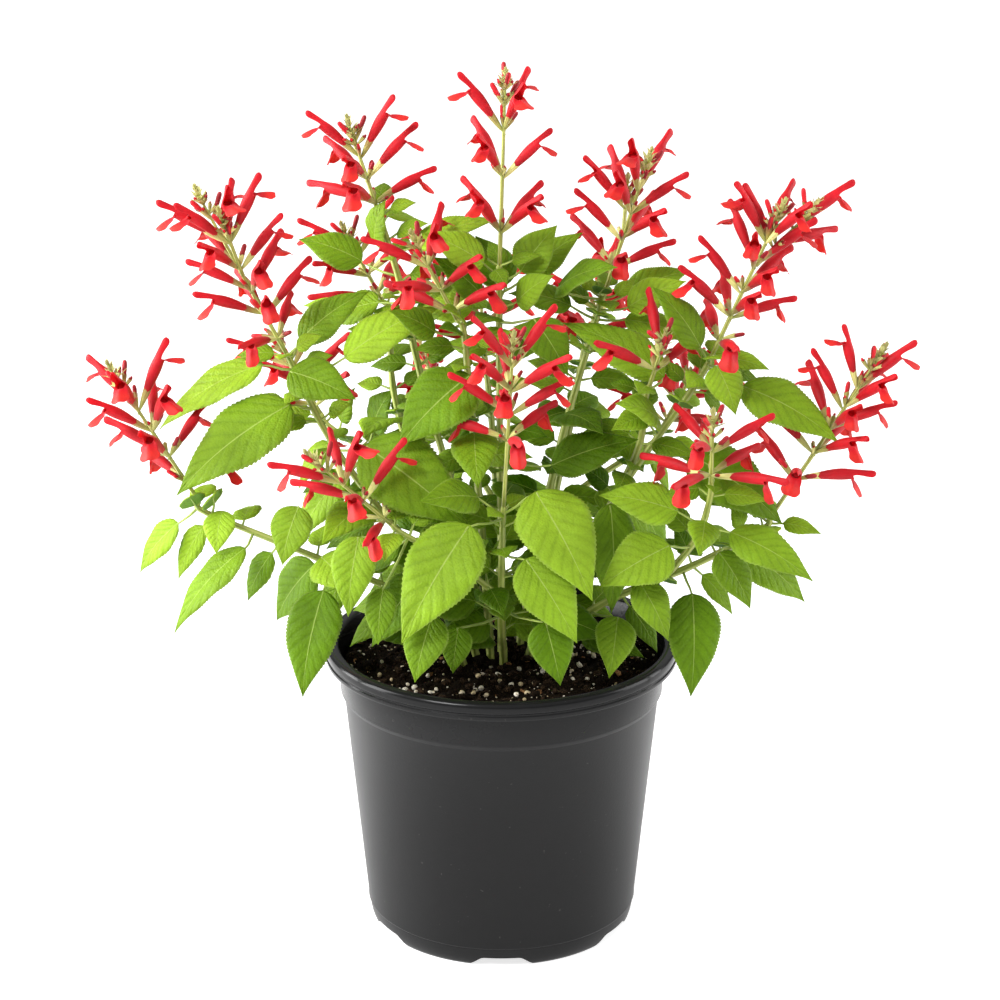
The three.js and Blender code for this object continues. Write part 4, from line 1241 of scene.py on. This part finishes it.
grids = {"large": (60, 12), "filling": (36, 8), "young": (16, 4)}
blades = {kind: (skin("blade_" + kind, *grid), grid[0]) for kind, grid in grids.items()}
for stem in stems:
    bm = open_piece()
    for i, leaf in enumerate(stem["grown"]):
        kind = "large" if i < stem["large"] else "filling" if i < stem["filled"] else "young"
        organ, rows = blades[kind]
        stamp(bm, organ, blade_place(leaf, rows, draw()), tone_with_painted_light(leaf))
    leaves = close_piece(stem["name"] + "_leaves", bm, [leaf_top, leaf_under], [stem["name"]])
    thicken(leaves, 0.45, under=1)

# %% [markdown]
# ## Flowers
# The corolla is a narrow tube that widens along most of its length and draws in a little at its mouth.
# Above the mouth it runs on as a straight, narrow hood, and below it hangs a broad, pleated lip with two
# side lobes and a wider middle one. The tube is a rolled skin. The hood and the lip grow out of its mouth
# by extruding half of the rim row by row.

# %% The organs of a flower, in millimetres along X, with Z towards the tip of the head
def turned_skin(rows, sides):
    bm = open_organ()
    bmesh.ops.create_grid(bm, x_segments=len(rows) - 1, y_segments=sides, size=0.5, calc_uvs=True)
    for v in bm.verts:
        x, radius = rows[round((v.co.x + 0.5) * (len(rows) - 1))]
        turn = (v.co.y + 0.5) * math.tau
        v.co = (x, -radius * math.sin(turn), -radius * math.cos(turn))
    bmesh.ops.remove_doubles(bm, verts=bm.verts, dist=1e-4)
    return bm


def extend(bm, edges, rows, shape):
    """Extrude five points of the mouth row after row, and set each row by its shape."""
    for row in rows:
        made = bmesh.ops.extrude_edge_only(bm, edges=edges)["geom"]
        fresh = sorted((g for g in made if isinstance(g, bmesh.types.BMVert)), key=lambda v: v.co.y)
        edges = [g for g in made if isinstance(g, bmesh.types.BMEdge) and all(v in fresh for v in g.verts)]
        for across, v in zip((-1, -0.5, 0, 0.5, 1), fresh):
            v.co = shape(across, *row)


def hood_row(across, x, half, top, low):
    return (x, half * across, low + (top - low) * math.sqrt(1 - across * across))


def lip_row(across, x, half, z, lift, cup):
    pleat = lip_pleat * math.cos(math.tau * across)
    return (x + pleat - cup * across * across, half * across, z + lift * across * across)


tube_sides = 8
lip_pleat = 0.9
mouth = 27.5
throat = {"x": 25.4, "radius": 2.8}
tube_rows = [(5, 0.9), (10, 1.7), (16, 2.65), (21, 3.15), (24.5, 3.1), (mouth, 2.7)]
hood_rows = [(31, 1.7, 2.6, 0.1), (36, 1.65, 2.4, -0.9), (38.2, 1.9, 2.5, -1.1), (39.8, 1.2, 2.0, -0.5),
             (40.3, 0.2, 0.9, 0.5)]
lip_rows = [(28.8, 2.9, -3.0, 2.2, 0.6), (30.4, 4.3, -4.8, 1.4, 3.6), (31.6, 3.6, -6.8, 0.8, 3.4),
            (32.6, 4.7, -8.8, 0.6, 4.4), (33.2, 4.5, -10.4, 0.6, 4.0), (33.2, 2.8, -11.8, -0.1, 2.0)]
bm = turned_skin(tube_rows, tube_sides)
rim = [edge for edge in bm.edges if all(v.co.x > mouth - 0.01 for v in edge.verts)]
upper = [edge for edge in rim if all(v.co.z > -0.01 for v in edge.verts)]
lower = [edge for edge in rim if all(v.co.z < 0.01 for v in edge.verts)]
extend(bm, upper, hood_rows, hood_row)
extend(bm, lower, lip_rows, lip_row)
bmesh.ops.recalc_face_normals(bm, faces=bm.faces)
upright = Matrix.Translation((throat["x"], 0, 0)) @ Matrix.Rotation(math.radians(90), 4, "Y")
bmesh.ops.create_circle(bm, cap_ends=True, segments=tube_sides, radius=throat["radius"], matrix=upright)
for face in bm.faces:
    for loop in face.loops:
        co = loop.vert.co
        loop[bm.loops.layers.uv["organ"]].uv = (co.x / flower_length, max(0, -co.z - 2) / 8)
corolla = as_mesh("corolla", bm)
print("corolla:", len(corolla.polygons), "faces")

# %% Buds, calyces and bracts
bud_rows = [(0, 0), (4, 0.95), (10.5, 1.6), (15, 1.8), (17.2, 0)]
calyx_rows = [(-1.5, 0.35), (1, 0.5), (3, 0.95), (6, 1.45), (8.6, 1.75), (10.2, 1.95)]
teeth = {1: 1.8, 3: 0.9, 4: 1.9, 5: 0.9, 7: 1.8}
calyx_sides = 8
bud = as_mesh("bud", turned_skin(bud_rows, 5), 1)
bm = turned_skin(calyx_rows, calyx_sides)
for v in bm.verts:
    if v.co.x > 10:
        column = round(math.atan2(-v.co.y, -v.co.z) / math.tau * calyx_sides) % calyx_sides
        v.co.x += teeth.get(column, 0)
calyx = as_mesh("calyx", bm, 1)
bract = skin("bract", 4, 2, 1)
print("bud, calyx, bract:", [len(organ.polygons) for organ in (bud, calyx, bract)])

# %% [markdown]
# A stamp for a flower bends the organ along the flower's own curve and scales it to its length. The lips
# of real flowers don't hang alike, so each one swings its lip a little.

# %% Where the points of a flower and of a bract go
def flower_place(piece, scale=1.0, swing=0.0, spread=0.0):
    path = flower_path(piece)
    grown = piece["length"] / flower_length if piece["length"] > bud_length else 1
    frames = {}

    def place(co):
        hang = max(0, -co.z - 3)
        x = (co.x * scale + hang * swing) * grown
        t = x / piece["length"]
        if t not in frames:
            inside = min(1, max(0, t))
            beyond = (t - inside) * piece["length"]
            frames[t] = (along(path, inside), *frame_at(path, inside, piece["up"]), beyond)
        middle, forward, side, top, beyond = frames[t]
        wide = -co.y * (1 + spread * hang * 0.1)
        flat = add(times(side, wide * scale * grown), times(top, co.z * scale * grown))
        return add(add(middle, times(forward, beyond)), flat)

    return place


def bract_place(head, height, clock, rise, length, width):
    piece = reach(head, height, clock, rise, length)
    side = unit(cross(piece["aim"], piece["up"]))
    inward = cross(side, piece["aim"])

    def place(co):
        s = co.x + 0.5
        across = -2 * co.y
        half = width * 1.5 * s ** 0.45 * (1 - s) ** 0.8
        cup = 0.3 * half * across * across + 0.05 * length * s * s
        flat = add(times(side, -across * half), times(inward, cup))
        return add(add(piece["start"], times(piece["aim"], s * length)), flat)

    return place


trial = flower_place(reach(sprays[0]["heads"][0], 20, 90, 40, flower_length))
print("the mouth of a trial flower lies at", [round(v) for v in trial(Vector((mouth, 0, 0)))], "mm")

# %% [markdown]
# Each head ends in a crown of small bracts with unripe buds below it, and late buds stand between the
# flowers of each whorl. They are small, so they are set by the ring that they stand in, and don't look
# for free room as the flowers do.

# %% The stalk of a head, its crown of bracts, and its unripe and late buds
tip_tuft = {"rings": 5, "start": -9, "step": 2.1, "rise": 30, "swing": 10, "length": 8.5, "width": 1.6}
immature = {"count": 2, "start": -15, "step": 5.5, "scale": 0.6}
late_buds = {"count": 3, "rise": 14, "least": 0.4, "most": 1.0}
per_ring = 4


def stamp_bud(green, red, piece, husk, scale, tone):
    stamp(green, calyx, flower_place(piece, husk), tone)
    stamp(red, bud, flower_place(piece, scale))


def rachis(green, head, tall):
    axis = [head["foot"], mix(head["foot"], head["tip"], 0.5), head["tip"]]
    steps = max(8, round(tall / ring_spacing))
    joints = [mix(head["foot"], head["tip"], whorl[0] / tall) for whorl in head["whorls"]]
    width = stem_radius(axis, rachis_width["foot"], rachis_width["top"], joints)
    stamp(green, skin("rachis_skin", steps, 8), capped(axis, width, steps), 0.5)


def crown_of_bracts(green, head, tall):
    for ring in range(tip_tuft["rings"]):
        for k in range(per_ring):
            height = tall + tip_tuft["start"] + tip_tuft["step"] * ring
            clock = 90 * k + 45 * ring + 15 * draw()
            rise = tip_tuft["rise"] + tip_tuft["swing"] * ring + 8 * draw()
            length = tip_tuft["length"] * (1 - 0.14 * ring)
            place = bract_place(head, height, clock, rise, length, tip_tuft["width"])
            stamp(green, bract, place, 0.08 + 0.08 * draw())


def unripe_buds(green, red, head, tall):
    for ring in range(immature["count"]):
        for k in range(per_ring):
            height = tall + immature["start"] + immature["step"] * ring
            piece = reach(head, height, 90 * k + 45 * ring + 20 * draw(), 40 + 10 * ring, bud_length)
            scale = immature["scale"] * (1 - 0.12 * ring)
            stamp_bud(green, red, piece, scale, scale * 0.85, 0.35 + 0.35 * draw())


def buds_between(green, red, head):
    for height, count, first, rise in head["whorls"]:
        for k in range(late_buds["count"]):
            clock = first + 360 / count * (k + 0.5) + 20 * draw()
            grade = (draw() + 1) / 2
            scale = late_buds["least"] + (late_buds["most"] - late_buds["least"]) * grade
            start = height + draw()
            piece = reach(head, start, clock, rise + late_buds["rise"] * (1 + draw()), bud_length)
            stamp_bud(green, red, piece, 0.4 + 0.4 * scale, scale, 0.5 + 0.45 * draw())


print("bracts on a head:", tip_tuft["rings"] * per_ring, "unripe buds:", immature["count"] * per_ring)

# %% Stamp every spray
for spray in sprays:
    green = open_piece()
    red = open_piece()
    for head in spray["heads"]:
        tall = size(sub(head["tip"], head["foot"]))
        rachis(green, head, tall)
        crown_of_bracts(green, head, tall)
        unripe_buds(green, red, head, tall)
        buds_between(green, red, head)
    for piece in spray["grown"]:
        is_bud = piece["length"] == bud_length
        tone = 0.55 + 0.4 * draw()
        if is_bud:
            stamp_bud(green, red, piece, 0.7, 1.0, tone)
        else:
            stamp(green, calyx, flower_place(piece), tone)
            stamp(red, corolla, flower_place(piece, 1.0, 0.2 * draw(), 0.15 + 0.3 * draw()))
    close_piece(spray["name"] + "_calyces", green, [stalk, calyx_skin], [spray["name"]])
    flowers = close_piece(spray["name"] + "_blooms", red, [petal, bud_skin], [spray["name"]])
    thicken(flowers, 0.3)
    round_off(flowers)

# %% [markdown]
# ## Floor, light and camera
# The photograph is taken against white with soft light from both sides, so a pale floor runs far back,
# two large lights stand left and right, and a third hangs above the front. The camera looks down a little
# from the front, through a long lens, at the photograph's own angle.

# %% The pale floor
floor_radius = 14.0
floor_grey = (0.55, 0.55, 0.55, 1)
floor_glow = 0.75
bm = bmesh.new()
bmesh.ops.create_circle(bm, cap_ends=True, cap_tris=False, segments=96, radius=floor_radius)
mesh = to_mesh("floor", bm)
floor_paint, tree, surface = new_finish("floor_paint", 0.8)
paint(tree, surface, floor_grey, 2.0, 0.01)
surface.inputs["Emission Color"].default_value = (1, 1, 1, 1)
surface.inputs["Emission Strength"].default_value = floor_glow
mesh.materials.append(floor_paint)
floor = linked("floor", mesh)
print("floor radius", floor_radius, "m")

# %% Soft studio light
world = bpy.data.worlds.new("studio")
bpy.context.scene.world = world
world.use_nodes = True
world.node_tree.nodes["Background"].inputs["Color"].default_value = (1, 1, 1, 1)
tree = world.node_tree
sky = put(tree, "ShaderNodeTexCoord", {}).outputs["Generated"]
height = put(tree, "ShaderNodeSeparateXYZ", {"Vector": sky}).outputs[2]
strength = calc(tree, "MULTIPLY_ADD", faded(tree, height, 0.05, 0.6), 0.6, 0.15)
seen = put(tree, "ShaderNodeLightPath", {}).outputs["Is Camera Ray"]
tree.links.new(calc(tree, "MAXIMUM", strength, seen), tree.nodes["Background"].inputs["Strength"])
aim = Vector((0, 0, 0.24))


def soft_light(name, place, width, power):
    data = bpy.data.lights.new(name, "AREA")
    data.shape = "SQUARE"
    data.size = width
    data.energy = power
    lamp = linked(name, data)
    lamp.location = place
    lamp.visible_camera = False
    lamp.rotation_euler = (aim - Vector(place)).to_track_quat("-Z", "Y").to_euler()


soft_light("left_light", (-1.7, 0.2, 0.7), 1.3, 64)
soft_light("right_light", (1.8, 0.3, 0.7), 1.3, 27)
soft_light("front_light", (-1.2, -1.3, 1.9), 0.8, 49)

# %% The camera
camera_distance = 1.5
camera_lift = math.radians(18.6)
camera_sensor = 36
camera_lens = 102.76
target = Vector((-0.0008, 0, 0.2365))
data = bpy.data.cameras.new("camera")
data.sensor_width = camera_sensor
data.lens = camera_lens
camera = linked("camera", data)
camera.location = target + camera_distance * Vector((0, -math.cos(camera_lift), math.sin(camera_lift)))
camera.rotation_euler = (target - camera.location).to_track_quat("-Z", "Y").to_euler()
bpy.context.scene.camera = camera
bpy.context.scene.view_settings.view_transform = "Standard"
print("camera at", [round(v, 3) for v in camera.location])
